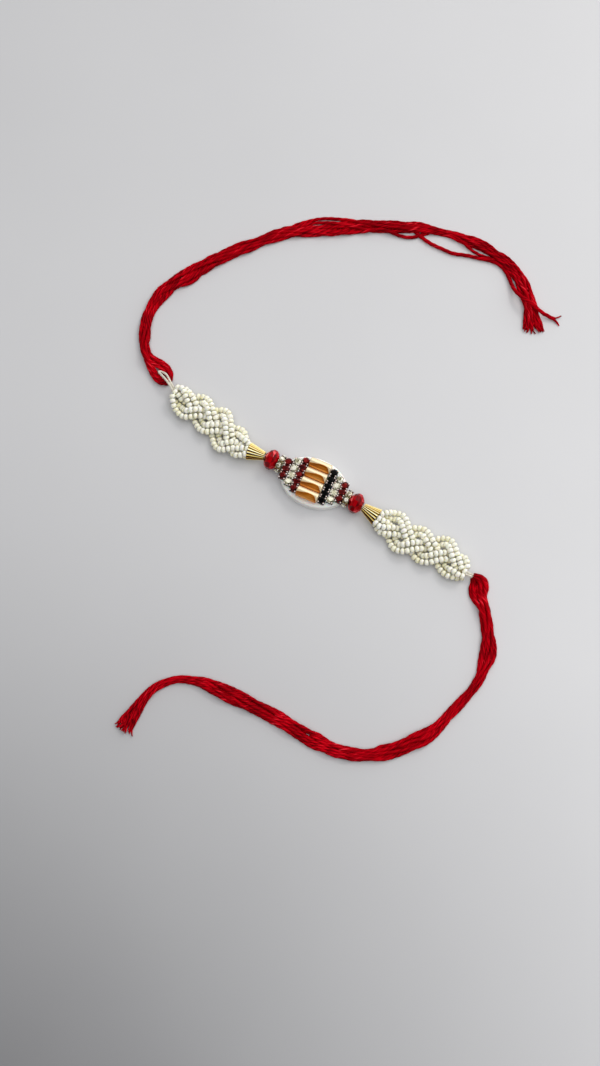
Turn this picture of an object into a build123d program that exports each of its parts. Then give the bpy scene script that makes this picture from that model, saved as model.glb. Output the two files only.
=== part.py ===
from build123d import *
from math import cos, pi, radians, sin, tan
import os
import numpy as np

# Rakhi thread bracelet, lying open on a flat surface. All sizes are in mm.
# The origin is the middle of the pad's underside, which is the surface that
# the bracelet lies on. X runs along the band, Z is up.

# Pad that the middle is glued to. It reaches past the rows of stones by its margin.
pad_margin = 0.2
pad_width = 15.3
pad_thickness = 3.0
pad_edge_round = 0.7
medallion_turn = 4.5
glue_gap = 0.05

# Pearl tube beads, side by side on the pad
tube_count = 4
tube_diameter = 3.25
tube_length = 6.9
tube_gap = 0.06
tube_end_round = 0.45
tube_bore = 1.2

# Rows of round stones in soldered cups, on both sides of the tube beads
cup_diameter = 2.2
cup_wall = 0.12
cup_floor = 0.3
cup_height = 1.35
cup_pitch = 2.37
link_width = 0.6
link_height = 0.7
prong_diameter = 0.46
prong_rise = 0.12
row_gap = 0.15
stone_diameter = 1.84
stone_gap = 0.03
stone_crown = 0.42
stone_girdle = 0.08
stone_pavilion = 0.8
stone_seat = 0.05
stone_table = 0.6
stone_facets = 8

# Each row: side of the tube beads, rank counted from them, number of stones
stone_rows = {
    "garnet_row_inner_left": (-1, 0, 5),
    "clear_row_left": (-1, 1, 4),
    "garnet_row_outer_left": (-1, 2, 3),
    "black_row_right": (1, 0, 5),
    "clear_row_right": (1, 1, 4),
    "garnet_row_outer_right": (1, 2, 3),
}

# Stone-set spacers on the thread, one at each end of the pad
spacer_diameter = 6.0
spacer_thickness = 1.6
spacer_bore = 1.6
spacer_stones = 7
spacer_cup = 1.5
spacer_core = 4.4
spacer_stone = 1.2
spacer_stone_depth = 0.75
pad_clearance = 0.15

# Faceted glass beads
crystal_diameter = 6.4
crystal_length = 4.3
crystal_bore = 1.5
crystal_face = 2.9
crystal_shoulder = 5.4
crystal_shoulder_share = 0.62
crystal_belt_share = 0.24
crystal_sides = 10
bead_gap = 0.05

# Fluted end cones
cone_length = 5.2
cone_mouth = 5.6
cone_neck = 2.6
cone_wall = 0.3
cone_flutes = 18
cone_flute_depth = 0.22
cone_bore = 1.5
cone_turn = 8.0
cone_gap = 0.3

# Thread that the middle is strung on
thread_diameter = 1.1
floor_gap = 0.05

# Seed beads strung in pairs and plaited by three. The strings are tubes here.
seed_diameter = 2.06
string_play = 0.34
string_gap = 0.1
strand_count = 3
string_steps = 67
steps_per_run = 3
settle_rounds = 150
settle_push = 0.6
settle_pull_home = 0.02
settle_straighten = 0.15
settle_calm_share = 0.7
mouth_gap = 0.75
mouth_blend = 4.0
loop_blend = 3.5
plait_lift = 1.1
plait_lift_sharpness = 2.0
plait_length = {"left": 28.7, "right": 30.3}

# Each row: share of the plait's length from the cone, sideways drift of its
# middle as a share of that length, swing of a strand in bead diameters, and
# how far the plait has turned there, in whole waves
plait_shape = {
    "left": [
        (0.00, -0.025, 1.17, 0.4167),
        (0.06, -0.030, 1.28, 0.4130),
        (0.12, -0.023, 1.55, 0.3800),
        (0.25, 0.013, 2.30, 0.2160),
        (0.38, 0.070, 2.42, 0.0480),
        (0.50, 0.101, 2.00, -0.1060),
        (0.65, 0.126, 1.75, -0.2990),
        (0.80, 0.145, 1.60, -0.4920),
        (0.93, 0.168, 1.30, -0.5800),
        (1.00, 0.180, 1.17, -0.5833),
    ],
    "right": [
        (0.00, -0.035, 1.17, -0.4167),
        (0.06, -0.038, 1.50, -0.4120),
        (0.12, -0.040, 1.95, -0.3900),
        (0.20, -0.048, 2.30, -0.2980),
        (0.30, -0.064, 2.15, -0.1680),
        (0.50, -0.068, 2.05, 0.0750),
        (0.60, -0.052, 2.05, 0.1990),
        (0.73, -0.042, 2.15, 0.3620),
        (0.85, -0.058, 1.88, 0.5120),
        (0.93, -0.083, 1.42, 0.5780),
        (1.00, -0.105, 1.17, 0.5833),
    ],
}

# Loops of doubled white thread at the band's ends, from the plait to a tip in
# the eye of the red thread's fold
loop_thread = 0.6
loop_spacing = 0.7
loop_start_gap = 0.4
loop_tips = {
    "left": (-56.8, 8.5),
    "right": (57.6, -4.5),
}

# Side view of a loop: share of its length, height
loop_profile = [
    (0.00, 2.45),
    (0.26, 3.15),
    (0.60, 3.35),
    (0.88, 3.05),
    (1.00, 1.95),
    (0.88, 0.80),
    (0.60, 0.42),
    (0.26, 0.80),
    (0.00, 1.65),
]

# Red tying threads, lying free. The points of their routes are chosen by hand.
bundle_diameter = 3.2
fold_diameter = 1.7
fold_leg_spacing = 2.1
loose_diameter = 1.0
fold_eye_height = 1.9
cord_gap = 0.3

bundle_routes = {
    "upper": [
        (-65.15, 12.2), (-70.15, 17.5), (-73.25, 25.5), (-72.45, 33.0),
        (-67.95, 43.0), (-61.15, 53.8), (-53.65, 63.0), (-45.65, 72.3),
        (-34.65, 79.0), (-26.65, 84.6), (-16.15, 89.3), (-6.15, 94.2),
        (4.85, 95.8), (14.35, 95.6), (22.85, 93.7), (29.35, 88.6),
        (33.45, 83.4), (36.95, 78.0),
    ],
    "lower": [
        (62.6, -9.6), (66.85, -14.5), (70.55, -22.0), (72.55, -31.5),
        (69.35, -41.0), (67.65, -49.0), (62.35, -57.5), (54.85, -65.3),
        (44.85, -69.4), (32.35, -69.3), (20.35, -68.3), (8.35, -69.2),
        (-2.15, -70.2), (-9.95, -74.8), (-12.9, -83.4), (-13.25, -92.5),
    ],
}

# Each point: x, y, share of the way up from the surface to the eye's height
fold_routes = {
    "upper": [
        (-62.1, 11.9, 0.1), (-58.7, 11.4, 0.5), (-56.31, 10.7, 0.8),
        (-55.25, 9.81, 1.0), (-55.01, 8.45, 1.0), (-55.7, 7.25, 1.0),
        (-57.0, 6.78, 0.9), (-59.2, 7.2, 0.6), (-61.6, 8.6, 0.3),
        (-63.8, 10.0, 0.1),
    ],
    "lower": [
        (62.3, -6.2, 0.1), (60.9, -3.9, 0.5), (59.06, -3.05, 0.8),
        (57.72, -2.69, 1.0), (56.47, -3.27, 1.0), (55.89, -4.52, 1.0),
        (56.25, -5.86, 0.8), (57.2, -7.5, 0.5), (59.2, -9.2, 0.1),
    ],
}

# One thread lies apart from the bundle and crosses over its end in a hump
loose_route = [
    (-13.2, 87.6, 0.55), (-8.2, 88.9, 0.55), (-4.0, 89.0, 0.55), (1.5, 89.6, 0.55),
    (7.5, 91.1, 0.55), (13.0, 91.3, 0.55), (17.8, 90.4, 0.55), (21.5, 88.0, 1.2),
    (25.3, 86.4, 3.4), (28.9, 85.3, 4.9), (35.0, 84.3, 4.9), (39.2, 83.7, 3.1),
    (42.6, 84.0, 0.55),
]

axis_height = crystal_diameter / 2 + floor_gap
tubes_bottom = pad_thickness + glue_gap
ranks = 1 + max(rank for side, rank, count in stone_rows.values())
rows_reach = tube_length / 2 + ranks * (cup_diameter + row_gap)
pad_length = 2 * (rows_reach + pad_margin)
spacer_start = pad_length / 2 + pad_clearance
crystal_start = spacer_start + spacer_thickness + bead_gap
cone_start = crystal_start + crystal_length + cone_gap
string_diameter = seed_diameter - string_play
bend_share = 0.45


def facet(*corners):
    """Flat face between corners."""
    return Face(Wire.make_polygon(corners, close=True))


def level(sides, radius, height, turn=0.0, dip=1.0):
    """Corners of one level of a faceted solid. Every second one is pulled in by dip."""
    corners = []
    for i in range(sides):
        angle = 2 * pi * (i + turn) / sides
        reach = radius * (dip if i % 2 else 1.0)
        corners.append(Vector(reach * cos(angle), reach * sin(angle), height))
    return corners


def faceted(levels):
    """Closed solid through levels, each given as (corners, turn in steps)."""
    faces = [facet(*corners) for corners, turn in (levels[0], levels[-1]) if len(corners) > 1]
    for (low, low_turn), (high, high_turn) in zip(levels, levels[1:]):
        for i in range(len(low)):
            a, b = low[i], low[(i + 1) % len(low)]
            c, d = high[i % len(high)], high[(i + 1) % len(high)]
            if len(high) == 1:
                faces.append(facet(a, b, c))
            elif high_turn != low_turn:
                faces += [facet(a, b, c), facet(b, d, c)]
            else:
                faces.append(facet(a, b, d, c))
    return Solid(Shell(faces))


def bends(points):
    """Arc radius at each corner of a route, as large as its two runs allow."""
    radii = []
    for before, corner, after in zip(points, points[1:], points[2:]):
        turn = radians((corner - before).get_angle(after - corner))
        shorter = min((corner - before).length, (after - corner).length)
        radii.append(bend_share * shorter / tan(turn / 2))
    return radii


def tube(name, route, diameter):
    """Round tube along straight runs joined by tangent arcs."""
    points = [Vector(*point) for point in route]
    radii = bends(points)
    path = FilletPolyline(*points, radius=radii)
    section = Plane(origin=path @ 0, z_dir=path % 0) * Circle(diameter / 2)
    solid = sweep(section, path=path).solid()
    ratio = solid.volume / (pi * diameter**2 / 4 * path.length)
    print(f"{name}: length {path.length:.1f}, volume ratio {ratio:.4f}, tightest radius "
          f"{min(radii) / diameter:.2f} diameters, radii " + " ".join(f"{r:.1f}" for r in radii))
    return solid


def along_x(solid, start, length):
    """Turn a solid made along Z so that it lies along X, from start to start + length."""
    return Pos(start + length / 2, 0, axis_height) * Rot(0, 90, 0) * solid


def backing_pad():
    """Oval glossy pad with a rounded upper edge."""
    pad = extrude(Ellipse(pad_length / 2, pad_width / 2), pad_thickness)
    rim = pad.faces().sort_by(Axis.Z)[-1].edges()
    pad = fillet(rim, min(pad_edge_round, 0.45 * pad_thickness))
    return Rot(0, 0, medallion_turn) * pad


def pearl_tube(index):
    """Tube bead lying across the pad, drilled from end to end."""
    bead = Cylinder(tube_diameter / 2, tube_length)
    ends = bead.edges().filter_by(GeomType.CIRCLE)
    bead = fillet(ends, min(tube_end_round, 0.4 * (tube_diameter - tube_bore) / 2))
    bead -= Cylinder(tube_bore / 2, 2 * tube_length)
    across = (index - (tube_count - 1) / 2) * (tube_diameter + tube_gap)
    place = Pos(0, across, tubes_bottom + tube_diameter / 2) * Rot(0, 90, 0)
    return Rot(0, 0, medallion_turn) * place * bead


def cut_stone(diameter, depth):
    """Round brilliant with its girdle at height 0 and its point down."""
    crown = stone_crown * diameter / stone_diameter
    half = stone_girdle * diameter / stone_diameter / 2
    radius = diameter / 2
    return faceted([
        (level(stone_facets, stone_table * radius, half + crown, 0.5), 0.5),
        (level(stone_facets, radius, half, 1.0), 1.0),
        (level(stone_facets, radius, -half, 1.0), 1.0),
        ([Vector(0, 0, -half - depth)], 1.0),
    ])


def row_places(side, rank, count):
    """Middles of a row's stones, on the pad."""
    along = tube_length / 2 + row_gap + cup_diameter / 2 + rank * (cup_diameter + row_gap)
    return [
        Pos(side * along, (i - (count - 1) / 2) * cup_pitch, tubes_bottom)
        for i in range(count)
    ]


def row_of_cups(side, rank, count):
    """Soldered cups with links between them and four prongs round each stone."""
    places = row_places(side, rank, count)
    cup = Pos(0, 0, cup_height / 2) * Cylinder(cup_diameter / 2, cup_height)
    prong_out = stone_diameter / 2 + stone_gap + prong_diameter / 2
    stem = Pos(0, 0, (cup_height + prong_rise) / 2) * Cylinder(
        prong_diameter / 2, cup_height + prong_rise)
    tip = Pos(0, 0, cup_height + prong_rise) * Sphere(prong_diameter / 2)
    for quarter in range(4):
        cup += Rot(0, 0, 45 + 90 * quarter) * Pos(prong_out, 0, 0) * (stem + tip)
    link = Box(link_width, cup_pitch, link_height)
    row = Part() + [place * cup for place in places]
    for place in places[1:]:
        row += place * Pos(0, -cup_pitch / 2, link_height / 2) * link
    depth = cup_height - cup_floor
    hollow = Pos(0, 0, cup_floor + depth / 2) * Cylinder(cup_diameter / 2 - cup_wall, depth)
    row -= [place * hollow for place in places]
    return Rot(0, 0, medallion_turn) * row


def row_of_stones(side, rank, count):
    """Cut stones of a row, each loose in its own cup."""
    stone = Pos(0, 0, cup_height - stone_seat) * cut_stone(stone_diameter, stone_pavilion)
    stones = [place * stone for place in row_places(side, rank, count)]
    return Rot(0, 0, medallion_turn) * Compound(stones)


def spacer_turns():
    """Directions of a spacer's stones round its axis."""
    return [Rot(0, 0, 360 * i / spacer_stones) for i in range(spacer_stones)]


def spacer():
    """Drilled disc with a ring of cups that face outwards."""
    cup_reach = spacer_diameter / 2 - stone_crown * spacer_stone / stone_diameter
    cup = Pos(cup_reach / 2, 0, 0) * Rot(0, 90, 0) * Cylinder(spacer_cup / 2, cup_reach)
    body = Cylinder(spacer_core / 2, spacer_thickness)
    body += [turn * cup for turn in spacer_turns()]
    seat = spacer_stone_depth + cup_floor / 2
    hole = Pos(cup_reach, 0, 0) * Rot(0, 90, 0) * Cylinder(
        spacer_stone / 2 + stone_gap, 2 * seat)
    body -= [turn * hole for turn in spacer_turns()]
    return body - Cylinder(spacer_bore / 2, 2 * spacer_diameter)


def spacer_stone_ring():
    """Stones that lie in a spacer's cups."""
    girdle = spacer_diameter / 2 - (stone_crown + stone_seat) * spacer_stone / stone_diameter
    stone = Pos(girdle, 0, 0) * Rot(0, 90, 0) * cut_stone(
        spacer_stone, spacer_stone_depth - cup_floor / 2)
    return Compound([turn * stone for turn in spacer_turns()])


def crystal():
    """Glass bead with triangular facets on both shoulders and a flat belt."""
    shoulder = crystal_length / 2 * crystal_shoulder_share
    belt = crystal_length / 2 * crystal_belt_share
    end = crystal_length / 2
    bead = faceted([
        (level(crystal_sides, crystal_face / 2, -end, 0.0), 0.0),
        (level(crystal_sides, crystal_shoulder / 2, -shoulder, 0.5), 0.5),
        (level(crystal_sides, crystal_diameter / 2, -belt, 1.0), 1.0),
        (level(crystal_sides, crystal_diameter / 2, belt, 1.0), 1.0),
        (level(crystal_sides, crystal_shoulder / 2, shoulder, 1.5), 1.5),
        (level(crystal_sides, crystal_face / 2, end, 2.0), 2.0),
    ])
    return Part() + bead - Cylinder(crystal_bore / 2, 2 * crystal_length)


def cone_frame():
    """Place of a cone: its neck at the origin, its axis along Z towards the mouth."""
    drop = axis_height - (cone_mouth / 2 + floor_gap)
    way = Vector(cos(radians(cone_turn)), -sin(radians(cone_turn)), -drop / cone_length)
    return Plane(origin=(cone_start, 0, axis_height), x_dir=(0, 1, 0), z_dir=way)


def cone():
    """Hollow fluted cone, open at the mouth and drilled at the neck."""
    dip = 1 - cone_flute_depth / (cone_mouth / 2)
    shell = Part() + faceted([
        (level(2 * cone_flutes, cone_neck / 2, 0, dip=dip), 0.0),
        (level(2 * cone_flutes, cone_mouth / 2, cone_length, dip=dip), 0.0),
    ])
    inner_mouth = dip * cone_mouth / 2 - cone_wall
    inner_neck = max(dip * cone_neck / 2 - cone_wall, cone_bore / 2)
    slope = (inner_mouth - inner_neck) / cone_length
    depth = cone_length - cone_wall
    hollow = Cone(inner_neck + slope * cone_wall, inner_mouth, depth)
    shell -= Pos(0, 0, cone_wall + depth / 2) * hollow
    shell -= Cylinder(cone_bore / 2, 2 * cone_length)
    return cone_frame().location * shell


def string_thread(name):
    """Thread from the pad's edge through spacer, crystal and cone to the cone's mouth."""
    frame = cone_frame()
    start = (spacer_start - pad_clearance / 2, 0, axis_height)
    end = frame.origin + frame.z_dir * (cone_length - cone_wall)
    return tube(name, [start, tuple(frame.origin), tuple(end)], thread_diameter)


def blend(share):
    """Smooth step from 0 to 1."""
    share = min(1.0, max(0.0, share))
    return share * share * (3 - 2 * share)


def shape_at(rows, column, share):
    """Smooth curve through one column of a table whose first column is the share."""
    last = len(rows) - 2
    i = next((k for k in range(last) if share <= rows[k + 1][0]), last)
    before, after = rows[max(i - 1, 0)], rows[min(i + 2, last + 1)]
    low, high = rows[i], rows[i + 1]
    span = high[0] - low[0]
    slope_low = (high[column] - before[column]) / (high[0] - before[0])
    slope_high = (after[column] - low[column]) / (after[0] - low[0])
    t = (share - low[0]) / span
    return ((2 * t**3 - 3 * t**2 + 1) * low[column] + (t**3 - 2 * t**2 + t) * span * slope_low
            + (3 * t**2 - 2 * t**3) * high[column] + (t**3 - t**2) * span * slope_high)


def plait_mouth():
    """Point in front of the right cone's mouth where the plait begins."""
    frame = cone_frame()
    return frame.origin + frame.z_dir * (cone_length + mouth_gap)


def plaited_strings(side):
    """Middle lines of a plait's strings before they are settled, two to a strand."""
    way = 1 if side == "right" else -1
    mouth = plait_mouth()
    spacing = seed_diameter + string_gap
    low = seed_diameter / 2 + plait_lift
    reach = plait_length[side]
    shares = np.linspace(0, 1, string_steps)
    strings = []
    for strand in range(strand_count):
        line = []
        for share in shares:
            drift = shape_at(plait_shape[side], 1, share) * reach
            swing = shape_at(plait_shape[side], 2, share) * seed_diameter
            phase = 2 * pi * (shape_at(plait_shape[side], 3, share) + strand / strand_count)
            across = drift + swing * cos(phase)
            from_mouth = blend(share * reach / mouth_blend)
            from_loop = blend((1 - share) * reach / loop_blend)
            flat = min(from_mouth, from_loop)
            wave = sin(2 * phase)
            steep = plait_lift_sharpness / (1 + (plait_lift_sharpness**2 - 1) * wave**2) ** 0.5
            height = low + flat * plait_lift * steep * wave + (mouth.Z - low) * (1 - from_mouth)
            lean = (across - mouth.Y) * tan(radians(cone_turn)) * (1 - from_mouth)
            along = way * (mouth.X + share * reach + lean)
            line.append((along, across, height, (1 - flat) * pi / 2))
        line = np.array(line)
        heading = np.gradient(line[:, :2], axis=0)
        heading /= np.linalg.norm(heading, axis=1)[:, None]
        for offset in (-spacing / 2, spacing / 2):
            string = line[:, :3].copy()
            string[:, 0] -= offset * np.cos(line[:, 3]) * heading[:, 1]
            string[:, 1] += offset * np.cos(line[:, 3]) * heading[:, 0]
            string[:, 2] += offset * np.sin(line[:, 3])
            strings.append(string)
    return strings


def settled(strings):
    """Push the strings apart, a little at a time, until they lie clear of each other."""
    now = np.array(strings)
    home = now.copy()
    count, steps, _ = now.shape
    owner = np.repeat(np.arange(count), steps)
    other = owner[:, None] != owner[None]
    ramp = np.clip(np.minimum(np.arange(steps), np.arange(steps)[::-1]) / steps_per_run, 0, 1)
    for turn in range(settle_rounds):
        flat = now.reshape(-1, 3)
        apart = flat[:, None] - flat[None]
        distance = np.linalg.norm(apart, axis=2)
        near = (distance < seed_diameter) & other
        push = np.where(near, (seed_diameter - distance) / np.maximum(distance, 1e-6), 0.0)
        touches = np.maximum(near.sum(1), 1)[:, None]
        move = ((apart * push[:, :, None]).sum(1) / touches * settle_push).reshape(count, steps, 3)
        move[:, :, 0] *= 0.5
        for _ in range(3):
            smooth = move.copy()
            smooth[:, 1:-1] = (move[:, :-2] + 2 * move[:, 1:-1] + move[:, 2:]) / 4
            move = smooth
        ease = max(0.0, 1 - turn / (settle_calm_share * settle_rounds))
        now = now + move * ramp[None, :, None] + settle_pull_home * ease * (home - now)
        straighten = np.zeros_like(now)
        straighten[:, 1:-1] = (now[:, :-2] + now[:, 2:]) / 2 - now[:, 1:-1]
        now += settle_straighten * ease * straighten
        now[:, :, 2] = np.maximum(now[:, :, 2], seed_diameter / 2)
    return now


def bead_strands(side):
    """Three strands of a plait, each a pair of strings."""
    lines = settled(plaited_strings(side))
    strands = {}
    for strand in range(strand_count):
        name = f"bead_strand_{side}_{strand + 1}"
        pair = []
        for line in lines[2 * strand:2 * strand + 2]:
            stops = list(range(0, string_steps - steps_per_run // 2, steps_per_run))
            points = [line[i] for i in stops] + [line[-1]]
            pair.append(tube(name, points, string_diameter))
        strands[name] = Compound(pair)
    return strands


def white_loop(side):
    """Doubled thread that goes over the red fold and back under it."""
    way = 1 if side == "right" else -1
    reach = plait_length[side]
    start = Vector(way * (plait_mouth().X + reach + loop_start_gap), plait_shape[side][-1][1] * reach)
    tip = Vector(*loop_tips[side])
    run = tip - start
    beside = Vector(-run.Y, run.X).normalized() * loop_spacing / 2
    threads = []
    for sign in (-1, 1):
        route = []
        for share, height in loop_profile:
            point = start + run * share + beside * sign
            route.append((point.X, point.Y, height))
        threads.append(tube(f"white_loop_{side}", route, loop_thread))
    return Compound(threads)


def red_bundle(end):
    """Bundle of tying threads, from the fold to its free end."""
    height = bundle_diameter / 2 + floor_gap
    return tube(f"red_bundle_{end}", [(x, y, height) for x, y in bundle_routes[end]],
                bundle_diameter)


def red_fold(end):
    """Fold of the tying threads: two legs from the bundle's end and a round eye."""
    first, second = (Vector(*point) for point in bundle_routes[end][:2])
    way = (second - first).normalized()
    beside = Vector(-way.Y, way.X) * fold_leg_spacing / 2
    height = fold_diameter / 2 + floor_gap
    middle = first - way * cord_gap
    inner = [(x, y, height + share * (fold_eye_height - height)) for x, y, share in fold_routes[end]]
    near, far = middle + beside, middle - beside
    if (near - Vector(*inner[0])).length > (far - Vector(*inner[0])).length:
        near, far = far, near
    route = [(near.X, near.Y, height)] + inner + [(far.X, far.Y, height)]
    return tube(f"red_fold_{end}", route, fold_diameter)


parts = {"backing_pad": backing_pad()}
for index in range(tube_count):
    parts[f"pearl_tube_{index + 1}"] = pearl_tube(index)
for name, (side, rank, count) in stone_rows.items():
    parts[f"{name}_cups"] = row_of_cups(side, rank, count)
    parts[f"{name}_stones"] = row_of_stones(side, rank, count)
strung = {
    "spacer": along_x(spacer(), spacer_start, spacer_thickness),
    "spacer_stones": along_x(spacer_stone_ring(), spacer_start, spacer_thickness),
    "crystal": along_x(crystal(), crystal_start, crystal_length),
    "cone": cone(),
    "string_thread": string_thread("string_thread"),
}
for name, piece in strung.items():
    parts[f"{name}_right"] = piece
    parts[f"{name}_left"] = mirror(piece, about=Plane.YZ)
for side in ("left", "right"):
    parts.update(bead_strands(side))
    parts[f"white_loop_{side}"] = white_loop(side)
for end in ("upper", "lower"):
    parts[f"red_bundle_{end}"] = red_bundle(end)
    parts[f"red_fold_{end}"] = red_fold(end)
parts["red_loose_thread"] = tube("red_loose_thread", loose_route, loose_diameter)

os.makedirs("parts", exist_ok=True)
for name, piece in parts.items():
    export_step(piece, f"parts/{name}.step")
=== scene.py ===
# %% [markdown]
# # A rakhi: a thread bracelet with a jewelled middle
#
# The real bracelet is a strung thing. Its middle is an oval pad with four pearl
# tube beads and six rows of small cut stones. A stone-set spacer, a faceted red
# bead and a fluted cone follow on each side, then a plait of white seed beads, a
# loop of white thread, and red tying threads. The rigid pieces come from the
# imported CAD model, and this script gives them their finish. Threads and beads are
# made here.
#
# The first cell loads the CAD model as a fixed frame. Everything is in metres.

# %% Load the frame
import math

import bmesh
import bpy
import numpy as np
from mathutils import Matrix, Vector


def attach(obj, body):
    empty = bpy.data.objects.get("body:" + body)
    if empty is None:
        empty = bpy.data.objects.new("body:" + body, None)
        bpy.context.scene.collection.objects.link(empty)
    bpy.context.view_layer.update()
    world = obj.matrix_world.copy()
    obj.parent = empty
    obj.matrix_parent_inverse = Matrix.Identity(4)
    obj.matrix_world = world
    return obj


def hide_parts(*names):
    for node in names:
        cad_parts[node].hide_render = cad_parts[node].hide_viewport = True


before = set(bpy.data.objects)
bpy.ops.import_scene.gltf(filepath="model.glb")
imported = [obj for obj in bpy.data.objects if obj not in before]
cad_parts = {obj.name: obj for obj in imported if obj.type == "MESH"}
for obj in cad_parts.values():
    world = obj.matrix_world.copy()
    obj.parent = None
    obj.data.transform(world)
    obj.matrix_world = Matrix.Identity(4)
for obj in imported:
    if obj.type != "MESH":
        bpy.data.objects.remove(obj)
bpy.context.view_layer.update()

MM = 0.001
print("frame has", len(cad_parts), "CAD nodes")

# %% [markdown]
# ## Small helpers for node trees
#
# Shaders and Geometry Nodes are both trees of nodes. One small function adds a
# node, sets it up and links it, so that each tree below reads as a list of steps.
# Colours are written as on a paint chart, in sRGB hex. Blender computes with
# linear light, so one function converts them.
#
# All finishes here are built alike. Several causes, such as height, a noise or the
# side that a facet faces, are weighed and added up to one number, the level. A
# ramp turns the level into a colour, which goes to the shader.

# %% Helpers for nodes and colours
def linear(hex_colour):
    """Linear RGBA of an sRGB hex colour."""
    parts = [int(hex_colour[i:i + 2], 16) / 255 for i in (1, 3, 5)]
    return [c / 12.92 if c <= 0.04045 else ((c + 0.055) / 1.055) ** 2.4 for c in parts] + [1.0]


def add_node(tree, kind, inputs=None, stops=(), **settings):
    """Add a node. Inputs map a socket's name or index to a value, a socket, or a node's first output.

    Stops are a colour ramp's pairs of position and hex colour.
    """
    made = tree.nodes.new(kind)
    for name, value in settings.items():
        setattr(made, name, value)
    for key, value in (inputs or {}).items():
        if isinstance(value, bpy.types.Node):
            value = value.outputs[0]
        if isinstance(value, bpy.types.NodeSocket):
            tree.links.new(value, made.inputs[key])
        else:
            made.inputs[key].default_value = value
    if stops:
        elements = made.color_ramp.elements
        while len(elements) < len(stops):
            elements.new(0.5)
        for element, (position, colour) in zip(elements, stops):
            element.position = position
            element.color = linear(colour)
    return made


def weigh(tree, parts, start=0.0):
    """Level for a colour ramp: the start value, plus every part times its weight."""
    level = start
    for part, weight in parts:
        level = add_node(tree, "ShaderNodeMath", {0: part, 1: weight, 2: level}, operation="MULTIPLY_ADD")
    return level


def new_material(name):
    """Empty material, its tree, and the Object coordinates that its patterns follow."""
    made = bpy.data.materials.new(name)
    made.use_nodes = True
    made.node_tree.nodes.clear()
    return made, made.node_tree, add_node(made.node_tree, "ShaderNodeTexCoord").outputs["Object"]


def surface(tree, level, stops, **inputs):
    """Close a material: the level picks its colour, and the shader's other inputs go by name."""
    colour = add_node(tree, "ShaderNodeValToRGB", {0: level}, stops)
    named = {socket.replace("_", " "): value for socket, value in inputs.items()}
    shader = add_node(tree, "ShaderNodeBsdfPrincipled", {"Base Color": colour, **named})
    add_node(tree, "ShaderNodeOutputMaterial", {"Surface": shader})


def finish_with(material, *names):
    """Give CAD nodes a material, in the slot that they have."""
    for name in names:
        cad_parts[name].material_slots[0].material = material


# %% [markdown]
# ## Camera
#
# The photograph looks down at about 75 degrees. A red bead is 21 pixels across
# there, and the whole band follows from that: the camera stands 450 mm away with
# a lens of about 50 mm. Its axes are written in the bracelet's own frame, where X
# runs along the band, so the band lies aslant in the picture, as it should.

# %% Camera
camera_place = Vector((59.07, -117.97, 434.67)) * MM
camera_right = Vector((0.8794, 0.4761, 0.0))
camera_up = Vector((-0.4598, 0.8495, 0.2588))
camera_back = camera_right.cross(camera_up)


def in_scene(name, data):
    """New object, linked to the scene."""
    made = bpy.data.objects.new(name, data)
    bpy.context.scene.collection.objects.link(made)
    return made


camera = in_scene("camera", bpy.data.cameras.new("camera"))
camera.data.lens = 49.83
camera.data.clip_start = 0.01
camera.matrix_world = Matrix.Translation(camera_place) @ Matrix(
    (camera_right, camera_up, camera_back)).transposed().to_4x4()
bpy.context.scene.camera = camera
bpy.context.scene.view_settings.view_transform = "Standard"
print("camera looks down at", round(math.degrees(math.asin(camera_back.z))), "degrees")

# %% [markdown]
# ## Lines to follow
#
# Every thread here follows a smooth line, a NURBS spline of order 3. Its control points lie close to the
# CAD's route and are placed on the photograph.
# Blender can turn the bare spline into a row of points. Those are then spread
# evenly, because a plied thread needs rings at an even pace.

# %% Smooth lines
def smooth_line(name, points):
    """Points along the NURBS spline with these control points, given in mm."""
    curve = bpy.data.curves.new(name, "CURVE")
    curve.dimensions = "3D"
    curve.resolution_u = 16
    spline = curve.splines.new("NURBS")
    spline.points.add(len(points) - 1)
    for made, (x, y, z) in zip(spline.points, points):
        made.co = (x * MM, y * MM, z * MM, 1)
    spline.order_u = 3
    spline.use_endpoint_u = True
    route = bpy.data.objects.new(name, curve)
    mesh = bpy.data.meshes.new_from_object(route)
    line = np.array([v.co[:] for v in mesh.vertices])
    bpy.data.objects.remove(route)
    bpy.data.curves.remove(curve)
    bpy.data.meshes.remove(mesh)
    return line


def length_of(line):
    """Length of a line of points."""
    return float(np.linalg.norm(np.diff(line, axis=0), axis=1).sum())


def way_along(line):
    """Distance from a line's start to each of its points."""
    return np.r_[0, np.cumsum(np.linalg.norm(np.diff(line, axis=0), axis=1))]


def at_shares(line, shares):
    """Points at shares of a line's length."""
    way = way_along(line)
    return np.array([np.interp(np.asarray(shares) * way[-1], way, line[:, k]) for k in range(3)]).T


def evenly(line, step):
    """The same line with points at an even step."""
    return at_shares(line, np.linspace(0, 1, max(4, round(length_of(line) / step) + 1)))


def soften(values, rounds):
    """Average each value with its neighbours along the first axis. The ends stay."""
    values = np.array(values, float)
    for _ in range(rounds):
        values[1:-1] = (values[:-2] + 2 * values[1:-1] + values[2:]) / 4
    return values


# %% [markdown]
# ## Plied thread
#
# A tying thread is three loose yarns twisted together. From the side that gives
# slanting ridges, and close up it gives the rope look. One closed mesh can show
# it: a ring with three lobes is carried along the line and turned as it goes.
# Each vertex also keeps two things: its place in the same thread pulled straight
# and untwisted, and whether it is on a lobe or in a groove. The materials read
# them, so that fibres and shade follow the thread round every bend.

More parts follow.
